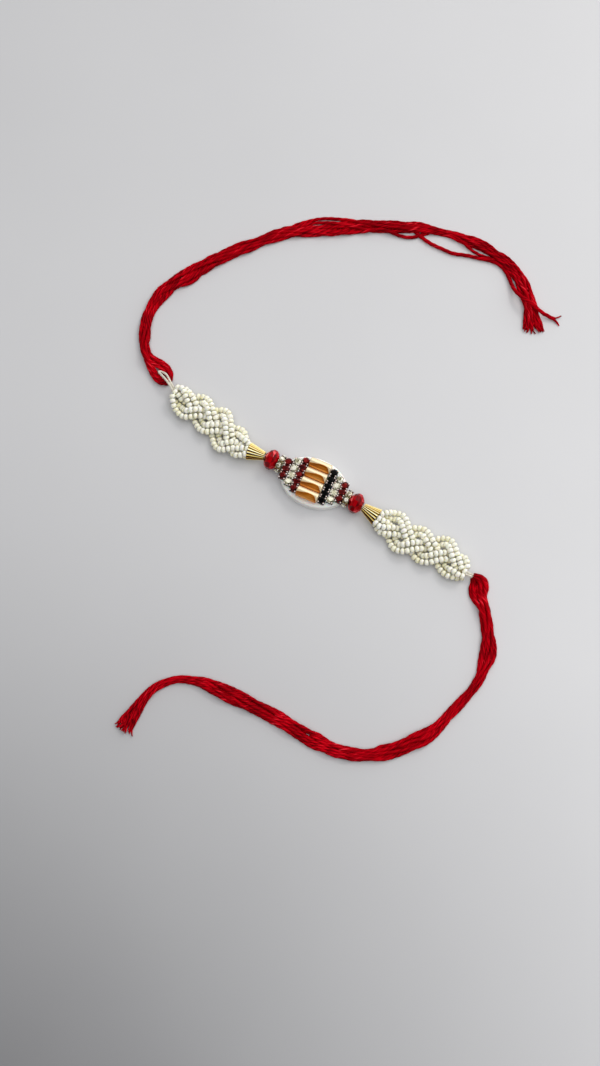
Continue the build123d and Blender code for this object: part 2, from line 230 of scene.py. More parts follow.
# %% Mesh of a plied thread
def frames_along(line):
    """Direction, side and upward vectors along a line, without sudden turns."""
    ahead = np.gradient(line, axis=0)
    ahead /= np.linalg.norm(ahead, axis=1)[:, None]
    side = np.cross(ahead, [0.0, 0.0, 1.0])
    steep = np.linalg.norm(side, axis=1) < 0.05
    side[steep] = [0.0, 1.0, 0.0]
    side /= np.linalg.norm(side, axis=1)[:, None]
    return ahead, side, np.cross(side, ahead)


def thread_shape(line, diameters, lay, lobe_depth=0.16, lobes=3, start=0.0, sides=12):
    """Rings of a plied thread along a line: points, faces, straightened places and lobe height."""
    _, side, up = frames_along(line)
    way = way_along(line)[:, None]
    angles = np.arange(sides) * 2 * math.pi / sides
    untwisted = angles - (2 * math.pi * way / lay + start)
    wave = np.cos(lobes * untwisted)
    radius = np.asarray(diameters)[:, None] / 2 * (1 - lobe_depth / 2 + lobe_depth / 2 * wave)
    points = line[:, None] + radius[..., None] * (
        np.cos(angles)[:, None] * side[:, None] + np.sin(angles)[:, None] * up[:, None])
    straight = np.stack([radius * np.cos(untwisted), radius * np.sin(untwisted), way + 0 * untwisted], axis=2)
    last = (len(line) - 1) * sides
    faces = [tuple(range(sides)), tuple(range(last + sides - 1, last - 1, -1))]
    for ring in range(0, last, sides):
        for k in range(sides):
            a, b = ring + k, ring + (k + 1) % sides
            faces.append((b, b + sides, a + sides, a))
    return points.reshape(-1, 3), faces, straight.reshape(-1, 3), wave.reshape(-1) / 2 + 0.5


def mesh_piece(name, shapes, material):
    """One object from several shapes, with the two attributes that the materials read."""
    points, faces, straight, lobe, first = [], [], [], [], 0
    for shape in shapes:
        points.append(shape[0])
        faces += [tuple(i + first for i in face) for face in shape[1]]
        straight.append(shape[2] + [0, 0, first * MM])
        lobe.append(shape[3])
        first += len(shape[0])
    mesh = bpy.data.meshes.new(name)
    mesh.from_pydata(np.concatenate(points).tolist(), [], faces)
    place = mesh.attributes.new("straight", "FLOAT_VECTOR", "POINT")
    place.data.foreach_set("vector", np.concatenate(straight).ravel())
    mesh.attributes.new("lobe", "FLOAT", "POINT").data.foreach_set("value", np.concatenate(lobe))
    mesh.shade_smooth()
    mesh.materials.append(material)
    return in_scene(name, mesh)


# %% [markdown]
# ## Finish of the threads
#
# The tying threads are loosely spun and dyed red, between cotton and art silk. The ridges catch the light in
# a clear crimson and the grooves sink into a dark red; both are painted, a painted highlight on the ridges
# and painted shade in the grooves. The dye is so deep that the surface hardly shines, so it has next to no
# specular. A noise stretched along the thread draws the fibres, and its brightest streaks are painted glints
# along them. Real fibres are about 0.02 mm thick, too fine to show, so they are drawn as strands of 0.3 mm.
# The white thread is made the same way, finer and undyed, with a little more shine and some sheen.

# %% Materials of the threads
def thread_material(name, stops, fibre_mm, fibre_length_mm, **inputs):
    """Spun thread. Its colour goes from painted shade in the grooves to a painted highlight on the ridges,
    and its fibres run along with painted glints.
    """
    made, tree, place = new_material(name)
    straight = add_node(tree, "ShaderNodeAttribute", attribute_name="straight")
    lobe = add_node(tree, "ShaderNodeAttribute", attribute_name="lobe")
    drawn_out = add_node(tree, "ShaderNodeMapping", {
        "Vector": straight.outputs["Vector"], "Scale": (1, 1, fibre_mm / fibre_length_mm)})
    fibres = add_node(tree, "ShaderNodeTexNoise", {
        "Vector": drawn_out, "Scale": 1 / (fibre_mm * MM), "Detail": 2.0})
    uneven_dye = add_node(tree, "ShaderNodeTexNoise", {
        "Vector": place, "Scale": 1 / (6 * MM), "Detail": 1.0})
    bump = add_node(tree, "ShaderNodeBump", {
        "Height": fibres, "Strength": 0.6, "Distance": 0.12 * MM})
    # Painted shade in the grooves and a painted highlight on the ridges come from the lobe, and the brightest
    # fibres are painted glints.
    level = weigh(tree, [(lobe.outputs["Fac"], 0.18), (fibres, 1.8), (uneven_dye, 0.4)], -0.72)
    surface(tree, level, stops, Normal=bump, Roughness=0.6, Sheen_Roughness=0.4, **inputs)
    return made


red_thread = thread_material(
    "spun_thread_dyed_red",
    [(0.0, "#400004"), (0.3, "#7C0009"), (0.58, "#AA000E"), (0.8, "#C80216"), (1.0, "#E83C4A")],
    fibre_mm=0.3, fibre_length_mm=9.0, Specular_IOR_Level=0.02)
white_thread = thread_material(
    "spun_thread_white", [(0.0, "#A8A291"), (0.4, "#D8D3C4"), (1.0, "#F3F0E6")],
    fibre_mm=0.2, fibre_length_mm=2.5, Specular_IOR_Level=0.35, Sheen_Weight=0.1)
print("thread materials:", red_thread.name, white_thread.name)

# %% [markdown]
# ## Red tying threads
#
# Each end of the band carries four red threads. They are hitched through the
# white loop at their middle, so eight halves run away from the fold. The CAD has
# a tube for the fold and a tube for the bundle. Here each half is a thread of its
# own, and the eight run side by side along the bundle's route.
#
# How do eight threads lie in a bundle? They could be drawn by hand, but they
# would cut through each other. So each gets a rough place in a ring that turns
# slowly, and the photograph's widths say how far the ring is spread. Then the
# threads are settled: any two that are too close push apart, gravity pulls them
# down, and the floor holds them up.

# %% Routes of the tying threads, in mm
bundle_height = 1.65
bundle_routes = {
    "upper": [
        (-67.6, 13.6), (-70.6, 18.2), (-73.4, 25.5), (-72.95, 33.2), (-67.95, 43.0), (-61.15, 53.8),
        (-53.87, 63.4), (-45.87, 72.7), (-34.65, 79.0), (-26.65, 84.6), (-16.15, 89.3), (-6.15, 94.2),
        (4.85, 95.8), (14.35, 95.6), (22.85, 93.7), (29.35, 88.6), (33.45, 83.4), (36.95, 78.0),
    ],
    "lower": [
        (63.2, -9.2), (67.1, -14.4), (70.55, -22.0), (72.55, -31.5), (69.35, -41.0), (67.65, -49.0),
        (62.35, -57.5), (54.85, -65.3), (44.85, -69.4), (32.35, -69.3), (20.35, -68.3), (8.35, -69.2),
        (-2.35, -69.8), (-10.65, -74.6), (-13.5, -83.2), (-13.6, -92.5),
    ],
}

# Both halves of a fold, each from the eye's tip back to the bundle
fold_halves = {
    "upper": [
        [(-55.72, 7.5, 1.3), (-55.95, 8.85, 1.4), (-57.15, 10.4, 1.5), (-58.8, 11.4, 1.6),
         (-60.59, 11.75, 1.6), (-62.4, 11.75, 1.6), (-64.4, 11.95, 1.6), (-66.5, 12.9, 1.6)],
        [(-55.72, 7.5, 1.3), (-56.39, 6.45, 1.3), (-58.3, 6.45, 1.4), (-60.74, 7.55, 1.4),
         (-63.0, 9.15, 1.5), (-65.3, 10.8, 1.6), (-67.3, 12.4, 1.6)],
    ],
    "lower": [
        [(56.36, -2.99, 1.9), (57.9, -2.2, 2.4), (59.7, -2.85, 2.2), (60.65, -4.6, 1.8),
         (61.2, -6.4, 1.4), (62.4, -7.9, 1.1)],
        [(56.36, -2.99, 1.9), (57.7, -3.6, 1.3), (57.75, -5.1, 1.1), (58.2, -6.6, 1.1),
         (59.4, -8.1, 1.1), (61.4, -9.6, 1.0)],
    ],
}

# How the four threads of a half lie in its fold: across and up, in thread diameters
flat = [(-1.3, 0.0), (-0.45, 0.25), (0.45, 0.0), (1.3, 0.25)]
fan = [(-1.5, 0.1), (-0.65, 0.0), (0.2, 0.3), (1.1, 0.0)]
heaped = [(-0.75, 0.0), (0.0, -0.35), (0.75, 0.0), (0.0, 0.45)]
fold_lay = {"upper": [fan, heaped], "lower": [flat, flat]}

# Each row: share of the bundle's length, width of the bundle in mm
bundle_widths = {
    "upper": [
        (0.0, 4.6), (0.03, 4.0), (0.09, 2.7), (0.136, 4.0), (0.174, 5.5), (0.207, 4.0), (0.235, 4.1),
        (0.287, 3.2), (0.321, 3.6), (0.347, 2.8), (0.389, 3.6), (0.426, 4.2), (0.474, 5.6),
        (0.511, 4.8), (0.565, 3.6), (0.584, 3.3), (0.609, 3.9), (0.658, 3.8), (0.694, 2.6),
        (0.715, 2.0), (0.744, 2.8), (0.783, 3.2), (0.821, 3.0), (0.857, 3.4), (0.887, 3.3),
        (0.913, 3.7), (0.949, 3.6), (0.971, 4.6), (1.0, 5.8),
    ],
    "lower": [
        (0.0, 5.8), (0.035, 3.8), (0.061, 3.2), (0.1, 4.8), (0.113, 4.2), (0.134, 2.9), (0.195, 2.55),
        (0.245, 2.75), (0.283, 2.7), (0.324, 3.7), (0.398, 3.8), (0.43, 2.9), (0.474, 3.3),
        (0.527, 3.1), (0.582, 4.4), (0.647, 3.9), (0.713, 3.6), (0.757, 5.0), (0.807, 2.6),
        (0.847, 2.2), (0.897, 2.6), (0.934, 2.6), (0.97, 3.6), (1.0, 4.5),
    ],
}

# Threads that leave the bundle for a while. Each row: from share, to share, side
# (+1 is left of the way to the free end), how far they stand off in mm
bundle_strays = {
    "upper": [
        (0.4, 0.6, 1, 1.7), (0.60, 0.70, -1, 2.6), (0.742, 0.84, -1, 1.9),
        (0.752, 0.83, 1, 1.3), (0.15, 0.23, -1, 1.1), (0.24, 0.33, 1, 0.9),
    ],
    "lower": [(0.06, 0.135, 1, 1.2), (0.29, 0.36, 1, 0.5), (0.5, 0.58, -1, 0.5)],
}
print("routes:", {end: len(points) for end, points in bundle_routes.items()})

# %% [markdown]
# A soft yarn has two thicknesses: the one it keeps when its neighbours press on
# it, which settles the threads, and the fuller one that is drawn. A middle line
# stays 0.7 of the first thickness above the floor, so that the second one has room.
# Where the bundle is pulled narrow, its threads are drawn thin as well. Its section
# keeps its size all the way, so it is tall where it is narrow. At the tip of the
# eye the threads are squeezed together, because they go round the white loop there.

# %% The bundle's numbers
thread_diameter = 0.86 * MM
soft_diameter = 1.14 * MM
thread_lay = 7.0 * MM
threads_a_bundle = 8
ring_places = 7  # the eighth thread is the core
core_reach = 0.1  # of the ring's radius
turns_a_bundle = {"upper": 2.4, "lower": 1.9}
wander_waves = (3, 5, 8)  # along the bundle
wander_turn = 1.3  # radians
bundle_section = 1.9 * MM * 1.9 * MM
section_slack = 0.2 * MM
least_spread = 0.5 * MM
least_height = 0.3 * MM
leaves_fold = 0.6  # this and the next in lengths of the fold
change_length = 0.9
squeeze_length = 2.4 * MM
least_squeeze = 0.25
waist_width = 3.3 * MM
drawn_limits = (0.7, 1.03)
settle_step = 0.7 * MM
print("a bundle has", threads_a_bundle, "threads of", round(soft_diameter / MM, 2), "mm")

# %% Push threads apart
bundle_rounds = 140
bundle_reach = 3  # steps along the neighbour that a thread feels
bundle_drop = 0.012 * MM
bundle_pull_home = 0.05
bundle_straighten = 0.1
bundle_calm_share = 0.8  # of the rounds, after which nothing pulls down
floor_share = 0.7  # height of a middle line on the floor, in settling diameters
no_zero = 1e-7  # least distance to divide by


def push_apart(lines, diameters, grip):
    """Settle threads of equal step: push apart, pull down and home, hold off the floor.

    Grip says how firmly the fold holds a thread in its place, from 0 to 1.
    """
    now = np.array(lines)
    home = now.copy()
    count, steps, _ = now.shape
    others = ~np.eye(count, dtype=bool)
    for turn in range(bundle_rounds):
        move = np.zeros_like(now)
        touches = np.ones((count, steps))
        for shift in range(-bundle_reach, bundle_reach + 1):
            low, high = max(0, -shift), min(steps, steps - shift)
            apart = now[:, None, low:high] - now[None, :, low + shift:high + shift]
            distance = np.linalg.norm(apart, axis=3)
            near = (distance < diameters[low:high]) & others[:, :, None]
            push = np.where(near, (diameters[low:high] - distance) / np.maximum(distance, no_zero), 0.0)
            move[:, low:high] += 0.5 * (apart * push[..., None]).sum(1)
            touches[:, low:high] += near.sum(1)
        move /= touches[..., None]
        now += soften(move.swapaxes(0, 1), 2).swapaxes(0, 1)
        ease = max(0.0, 1 - turn / (bundle_calm_share * bundle_rounds))
        now[:, :, :2] += (bundle_pull_home * (ease + 2 * grip))[:, None] * (home - now)[:, :, :2]
        now[:, :, 2] -= bundle_drop * ease
        straighten = bundle_straighten * (1 - 0.9 * grip[1:-1, None])
        now[:, 1:-1] += straighten * ((now[:, :-2] + now[:, 2:]) / 2 - now[:, 1:-1])
        now[:, :, 2] = np.maximum(now[:, :, 2], diameters * floor_share)
    return now


# %% Settle eight threads in a bundle
def bundle_lines(end, seed):
    """Settled middle lines of one end's eight thread halves, and how thin they are drawn on the way."""
    chance = np.random.default_rng(seed)
    bundle = [(x, y, bundle_height) for x, y in bundle_routes[end]]
    halves = [smooth_line("route", half + bundle[1:]) for half in fold_halves[end]]
    fold_share = [length_of(smooth_line("fold", half)) / length_of(line)
                  for half, line in zip(fold_halves[end], halves)]
    steps = round(min(length_of(line) for line in halves) / settle_step)
    shares = np.linspace(0, 1, steps)
    order = chance.permutation(ring_places)
    lines = []
    for k in range(threads_a_bundle):
        half = k % 2
        fold = fold_share[half]
        route = at_shares(halves[half], shares)
        ahead = soften(np.gradient(route, axis=0), 4)
        ahead[:, 2] = 0
        ahead /= np.linalg.norm(ahead, axis=1)[:, None]
        left = np.stack([-ahead[:, 1], ahead[:, 0], 0 * shares], axis=1)
        along = np.clip((shares - fold) / (1 - fold), 0, 1)

        # Place in the bundle's ring
        wander = np.zeros(steps)
        for waves in wander_waves:
            wander += chance.normal() / waves * np.sin(
                2 * math.pi * (waves * along + chance.random()))
        angle = 2 * math.pi * (turns_a_bundle[end] * along) + wander * wander_turn
        out = core_reach
        if k < ring_places:
            angle = angle + 2 * math.pi * order[k] / ring_places
            out = 1.0
        width = np.interp(along, *np.array(bundle_widths[end]).T) * MM
        spread = np.maximum(width - thread_diameter, least_spread) / 2
        tall = np.maximum(bundle_section / width - section_slack, least_height)
        across = out * spread * np.cos(angle)
        height = thread_diameter / 2 + tall * (1 + out * np.sin(angle)) / 2

        # Place in the fold, and the change from one to the other behind it
        beside, above = fold_lay[end][half][k // 2]
        squeeze = np.clip(shares * length_of(halves[half]) / squeeze_length, least_squeeze, 1)
        across_fold = thread_diameter * beside * (1 if half else -1) * squeeze
        height_fold = route[:, 2] + thread_diameter * above
        in_bundle = np.clip((shares - leaves_fold * fold) / (change_length * fold), 0, 1)
        in_bundle = in_bundle**2 * (3 - 2 * in_bundle)
        across = in_bundle * across + (1 - in_bundle) * across_fold
        line = route + across[:, None] * left
        line[:, 2] = in_bundle * height + (1 - in_bundle) * height_fold
        lines.append((line, across, left, along))
    for start, stop, side, off in bundle_strays[end]:
        middle = int(np.argmin(np.abs(lines[0][3] - (start + stop) / 2)))
        line, _, left, along = max(lines, key=lambda thread: side * thread[1][middle])
        bump = np.sin(math.pi * np.clip((along - start) / (stop - start), 0, 1)) ** 2
        line += (bump * side * off * MM)[:, None] * left
    grip = np.clip(2 - shares / max(fold_share), 0, 1)
    drawn = soften(np.clip(width / waist_width, *drawn_limits), 6)
    settled = push_apart([line for line, *_ in lines], thread_diameter * drawn, grip)
    return [soften(line, 3) for line in settled], drawn


threads, drawn_thin = {}, {}
for end, seed in (("upper", 4), ("lower", 9)):
    threads[end], drawn_thin[end] = bundle_lines(end, seed)
    print(end, "threads, mm:", [round(length_of(line) / MM) for line in threads[end]])

# %% [markdown]
# ## Cut ends
#
# The threads are simply cut, and the cut opens: each thread parts into its three yarns, which spread and
# taper. They are short thin threads that start half a millimetre inside the end, so nothing is seen of the
# joint. Each red thread is a free cord.

# %% Threads with frayed ends
ring_step = 0.3 * MM
fray_yarns = 3
fray_points = 7
fray_inside = 0.5 * MM
fray_lowest = 0.24 * MM
fray_rise = 0.35  # a yarn leaves sideways more than upwards
fray_taper = (0.55, 0.3)  # in thread diameters
cut_unevenness = 0.012
yarn_swell = 0.06


def hand_over(piece, slot, *nodes):
    """A piece rides on the bracelet and stands for CAD nodes, which are hidden. Its slot is not used."""
    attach(piece, "root")
    if nodes:
        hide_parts(*nodes)


def tying_thread(name, line, diameter, swell, chance, *nodes, fray_length, spread):
    """Red thread along a line, with an end that opens into its yarns."""
    diameters = diameter * swell
    shapes = [thread_shape(line, diameters, thread_lay, start=chance.random() * 6)]
    ahead, side, up = frames_along(line)
    way, right = ahead[-1], side[-1]
    share = np.linspace(0, 1, fray_points)[:, None]
    for yarn in range(fray_yarns):
        turn = 2 * math.pi * yarn / fray_yarns + chance.random()
        out = right * math.cos(turn) + up[-1] * fray_rise * math.sin(turn)
        long = fray_length * (0.6 + 0.6 * chance.random())
        curl = chance.normal() * 0.25
        points = (line[-1] - way * fray_inside + way * share * (long + fray_inside)
                  + out * share**1.6 * long * spread + right * curl * share**2 * long
                  + out * diameters[-1] * 0.2)
        points[:, 2] = np.maximum(points[:, 2], fray_lowest)
        thin = np.linspace(*fray_taper, fray_points) * diameters[-1]
        shapes.append(thread_shape(points, thin, thread_lay * 0.7, sides=6, lobe_depth=0.1, lobes=2))
    piece = mesh_piece(name, shapes, red_thread)
    hand_over(piece, "red_thread", *nodes)


for end, lines in threads.items():
    for number, line in enumerate(lines):
        chance = np.random.default_rng([number, 5])
        cut = 1 - cut_unevenness * chance.random()
        line = evenly(at_shares(line, np.linspace(0, cut, len(line))), ring_step)
        # The yarn is thicker in some places than in others
        swell = 1 + yarn_swell * np.sin(np.linspace(0, 40 + 9 * number, len(line)))
        drawn = drawn_thin[end]
        swell *= np.interp(np.linspace(0, cut, len(line)), np.linspace(0, 1, len(drawn)), drawn)
        tying_thread(f"red_thread_{end}_{number + 1}", line, soft_diameter, swell, chance,
                     f"red_bundle_{end}", f"red_fold_{end}", fray_length=1.5 * MM, spread=0.35)
print(len(threads) * threads_a_bundle, "thread halves")

# %% [markdown]
# One thread of the upper bundle lies apart. It runs beside the others, crosses
# over their end and sticks out on the far side. Its route has two points at the
# top of the crossing, one on each side of it. Nothing presses on it, so it is a
# little thicker, and its end has opened further.

# %% The loose thread
loose_diameter = 1.3 * MM
loose_route = [
    (-12.9, 90.9, 0.68), (-11.2, 90.1, 0.68), (-8.87, 89.5, 0.68), (-4.92, 88.85, 0.68),
    (-1.41, 89.05, 0.68), (2.65, 89.1, 0.68), (6.77, 90.8, 0.68), (10.79, 91.71, 0.68),
    (14.7, 92.9, 0.7), (17.6, 92.9, 0.7), (20.4, 91.8, 0.7), (23.0, 89.47, 0.8), (25.5, 86.93, 1.6),
    (27.8, 85.3, 3.2), (31.22, 84.5, 3.8), (34.2, 84.1, 3.3), (37.6, 83.75, 1.6), (41.06, 84.31, 0.7),
]
line = evenly(smooth_line("loose", loose_route), ring_step)
tying_thread("red_loose_end", line, loose_diameter, np.ones(len(line)), np.random.default_rng(3),
             "red_loose_thread", fray_length=2.1 * MM, spread=0.7)
print("loose thread, mm:", round(length_of(line) / MM, 1))

# %% [markdown]
# ## Plaits of seed beads
#
# Each side has a plait of three strands, and each strand is a pair of strings of
# white pearl seed beads. The CAD holds a tube for each string. It finds the
# strings by a rule: a strand swings from side to side while it goes over and
# under, and then all strings are pushed apart until none touches another. The
# same rule is used here, with the same numbers, so that the beads lie where the
# tubes lie. Only a weak third wave is added, which closes the gaps in the middle.
# The rest is a small physics solver: push, smooth, repeat.

# %% The plait's numbers, in mm
seed_diameter = 2.06
string_gap = 0.1
strand_count = 3
string_steps = 67
steps_per_run = 3
settle_rounds = 150
settle_push = 0.6
settle_pull_home = 0.02
settle_straighten = 0.15
settle_calm_share = 0.7
mouth_blend = 4.0
loop_blend = 3.5
plait_lift = 1.1
plait_lift_sharpness = 2.0
third_wave = 0.26
way_out = {"left": -1, "right": 1}  # along X
plait_length = {"left": 28.7, "right": 30.3}
cone_turn = math.radians(8.0)
plait_mouth = (22.992, -0.828, 2.793)

# Each row: share of the plait's length from the cone, sideways drift of its
# middle as a share of that length, swing of a strand in bead diameters, and
# how far the plait has turned there, in whole waves
plait_shape = {
    "left": [
        (0.00, -0.025, 1.17, 0.4167), (0.06, -0.030, 1.28, 0.4130), (0.12, -0.023, 1.55, 0.3800),
        (0.25, 0.013, 2.30, 0.2160), (0.38, 0.070, 2.42, 0.0480), (0.50, 0.101, 2.00, -0.1060),
        (0.65, 0.126, 1.75, -0.2990), (0.80, 0.145, 1.60, -0.4920), (0.93, 0.168, 1.30, -0.5800),
        (1.00, 0.180, 1.17, -0.5833),
    ],
    "right": [
        (0.00, -0.035, 1.17, -0.4167), (0.06, -0.038, 1.50, -0.4120), (0.12, -0.040, 1.95, -0.3900),
        (0.20, -0.048, 2.30, -0.2980), (0.30, -0.064, 2.15, -0.1680), (0.50, -0.068, 2.05, 0.0750),
        (0.60, -0.052, 2.05, 0.1990), (0.73, -0.042, 2.15, 0.3620), (0.85, -0.058, 1.88, 0.5120),
        (0.93, -0.083, 1.42, 0.5780), (1.00, -0.105, 1.17, 0.5833),
    ],
}
print("plaits of", strand_count, "strands,", 2 * strand_count, "strings each")


# %% Strings before they are settled
def blend(share):
    """Smooth step from 0 to 1."""
    share = min(1.0, max(0.0, share))
    return share * share * (3 - 2 * share)


def shape_at(rows, column, share):
    """Smooth curve through one column of a table whose first column is the share."""
    last = len(rows) - 2
    i = next((k for k in range(last) if share <= rows[k + 1][0]), last)
    before, after = rows[max(i - 1, 0)], rows[min(i + 2, last + 1)]
    low, high = rows[i], rows[i + 1]
    span = high[0] - low[0]
    slope_low = (high[column] - before[column]) / (high[0] - before[0])
    slope_high = (after[column] - low[column]) / (after[0] - low[0])
    t = (share - low[0]) / span
    return ((2 * t**3 - 3 * t**2 + 1) * low[column] + (t**3 - 2 * t**2 + t) * span * slope_low
            + (3 * t**2 - 2 * t**3) * high[column] + (t**3 - t**2) * span * slope_high)


def plaited_strings(side):
    """Middle lines of a plait's strings in mm before they are settled, two to a strand."""
    mouth_x, mouth_y, mouth_z = plait_mouth
    spacing = seed_diameter + string_gap
    low = seed_diameter / 2 + plait_lift
    reach = plait_length[side]
    strings = []
    for strand in range(strand_count):
        line = []
        for share in np.linspace(0, 1, string_steps):
            drift = shape_at(plait_shape[side], 1, share) * reach
            swing = shape_at(plait_shape[side], 2, share) * seed_diameter
            phase = 2 * math.pi * (shape_at(plait_shape[side], 3, share) + strand / strand_count)
            shifted = math.cos(phase) + third_wave * math.cos(3 * phase)
            across = drift + swing * shifted / (1 + third_wave)
            from_mouth = blend(share * reach / mouth_blend)
            from_loop = blend((1 - share) * reach / loop_blend)
            flat = min(from_mouth, from_loop)
            wave = math.sin(2 * phase)
            steep = plait_lift_sharpness / (1 + (plait_lift_sharpness**2 - 1) * wave**2) ** 0.5
            height = low + flat * plait_lift * steep * wave + (mouth_z - low) * (1 - from_mouth)
            lean = (across - mouth_y) * math.tan(cone_turn) * (1 - from_mouth)
            along = way_out[side] * (mouth_x + share * reach + lean)
            line.append((along, across, height, (1 - flat) * math.pi / 2))
        line = np.array(line)
        heading = np.gradient(line[:, :2], axis=0)
        heading /= np.linalg.norm(heading, axis=1)[:, None]
        for offset in (-spacing / 2, spacing / 2):
            string = line[:, :3].copy()
            string[:, 0] -= offset * np.cos(line[:, 3]) * heading[:, 1]
            string[:, 1] += offset * np.cos(line[:, 3]) * heading[:, 0]
            string[:, 2] += offset * np.sin(line[:, 3])
            strings.append(string)
    return strings


# %% Settle the strings of a plait
def settled(strings):
    """Push the strings apart, a little at a time, until they lie clear of each other."""
    now = np.array(strings)
    home = now.copy()
    count, steps, _ = now.shape
    owner = np.repeat(np.arange(count), steps)
    other = owner[:, None] != owner[None]
    ends = np.clip(np.minimum(np.arange(steps), np.arange(steps)[::-1]) / steps_per_run, 0, 1)
    for turn in range(settle_rounds):
        spots = now.reshape(-1, 3)
        apart = spots[:, None] - spots[None]
        distance = np.linalg.norm(apart, axis=2)
        near = (distance < seed_diameter) & other
        push = np.where(near, (seed_diameter - distance) / np.maximum(distance, no_zero), 0.0)
        touches = np.maximum(near.sum(1), 1)[:, None]
        move = ((apart * push[:, :, None]).sum(1) / touches * settle_push).reshape(count, steps, 3)
        move[:, :, 0] *= 0.5
        move = soften(move.swapaxes(0, 1), 3).swapaxes(0, 1)
        ease = max(0.0, 1 - turn / (settle_calm_share * settle_rounds))
        now = now + move * ends[None, :, None] + settle_pull_home * ease * (home - now)
        between = (now[:, :-2] + now[:, 2:]) / 2
        now[:, 1:-1] += settle_straighten * ease * (between - now[:, 1:-1])
        now[:, :, 2] = np.maximum(now[:, :, 2], seed_diameter / 2)
    return now


strings = {side: settled(plaited_strings(side)) for side in way_out}
print("strings settled:", {side: lines.shape[:2] for side, lines in strings.items()})

# %% [markdown]
# ## Seed beads
#
# A seed bead is a slice of glass tube that was tumbled in heat until its edges ran round. It is wider than it
# is long and has a hole. The beads here have a pearl coat: creamy white, with a soft shine and a faint green
# in the shadows. So they get painted shade, darkest and greenest low down between the strands, and each has a
# tone of its own.
# The milky glass lets light through, which the shader's subsurface part gives.
#
# Hundreds of equal beads on a path are a job for Geometry Nodes. The tree below
# spreads points along the strings at the bead's pitch, sets a bead on each one
# with its hole along the string, and tilts and sizes each a little differently,
# because real seed beads are uneven.

# %% Material of the seed beads
seed_pearl, tree, place = new_material("glass_seed_bead_pearl_coated")
own_shade = add_node(tree, "ShaderNodeAttribute", attribute_name="bead_shade")
cloud = add_node(tree, "ShaderNodeTexNoise", {"Vector": place, "Scale": 1 / (1.2 * MM), "Detail": 2.0})
parts = add_node(tree, "ShaderNodeSeparateXYZ", {0: place})
# Painted shade: beads low down, between the strands, are darker and greener.
height = add_node(tree, "ShaderNodeMapRange", {
    "Value": parts.outputs["Z"], "From Min": 1.6 * MM, "From Max": 5.4 * MM, "To Max": 0.5})
uneven = add_node(tree, "ShaderNodeTexNoise", {"Vector": place, "Scale": 1 / (0.5 * MM), "Detail": 1.0})
bump = add_node(tree, "ShaderNodeBump", {"Height": uneven, "Strength": 0.25, "Distance": 0.05 * MM})
level = weigh(tree, [(own_shade.outputs["Fac"], 0.35), (height, 1.0), (cloud, 0.3)])
surface(tree, level, [(0.1, "#E0DAAE"), (0.28, "#EEE9C8"), (0.5, "#F7F3E0"), (1.0, "#FDFBF2")],
        Normal=bump, Roughness=0.2, IOR=1.55, Coat_Weight=1.0, Coat_Roughness=0.06,
        Subsurface_Weight=0.6, Subsurface_Scale=1.0 * MM, Subsurface_Radius=(1.0, 0.9, 0.6))
print("bead material:", seed_pearl.name)

# %% Geometry Nodes tree that strings the beads
bead_length = 1.42 * MM
bead_pitch = 1.45 * MM
bead_wall = 0.5 * MM
bead_tilt = 0.13


def open_tree(name, **inputs):
    """Geometry Nodes tree with named inputs, and the sockets that hand them in."""
    tree = bpy.data.node_groups.new(name, "GeometryNodeTree")
    for label, kind in {"Geometry": "Geometry", **inputs}.items():
        tree.interface.new_socket(
            label.replace("_", " "), in_out="INPUT", socket_type=f"NodeSocket{kind}")
    tree.interface.new_socket("Geometry", in_out="OUTPUT", socket_type="NodeSocketGeometry")
    return tree, add_node(tree, "NodeGroupInput").outputs


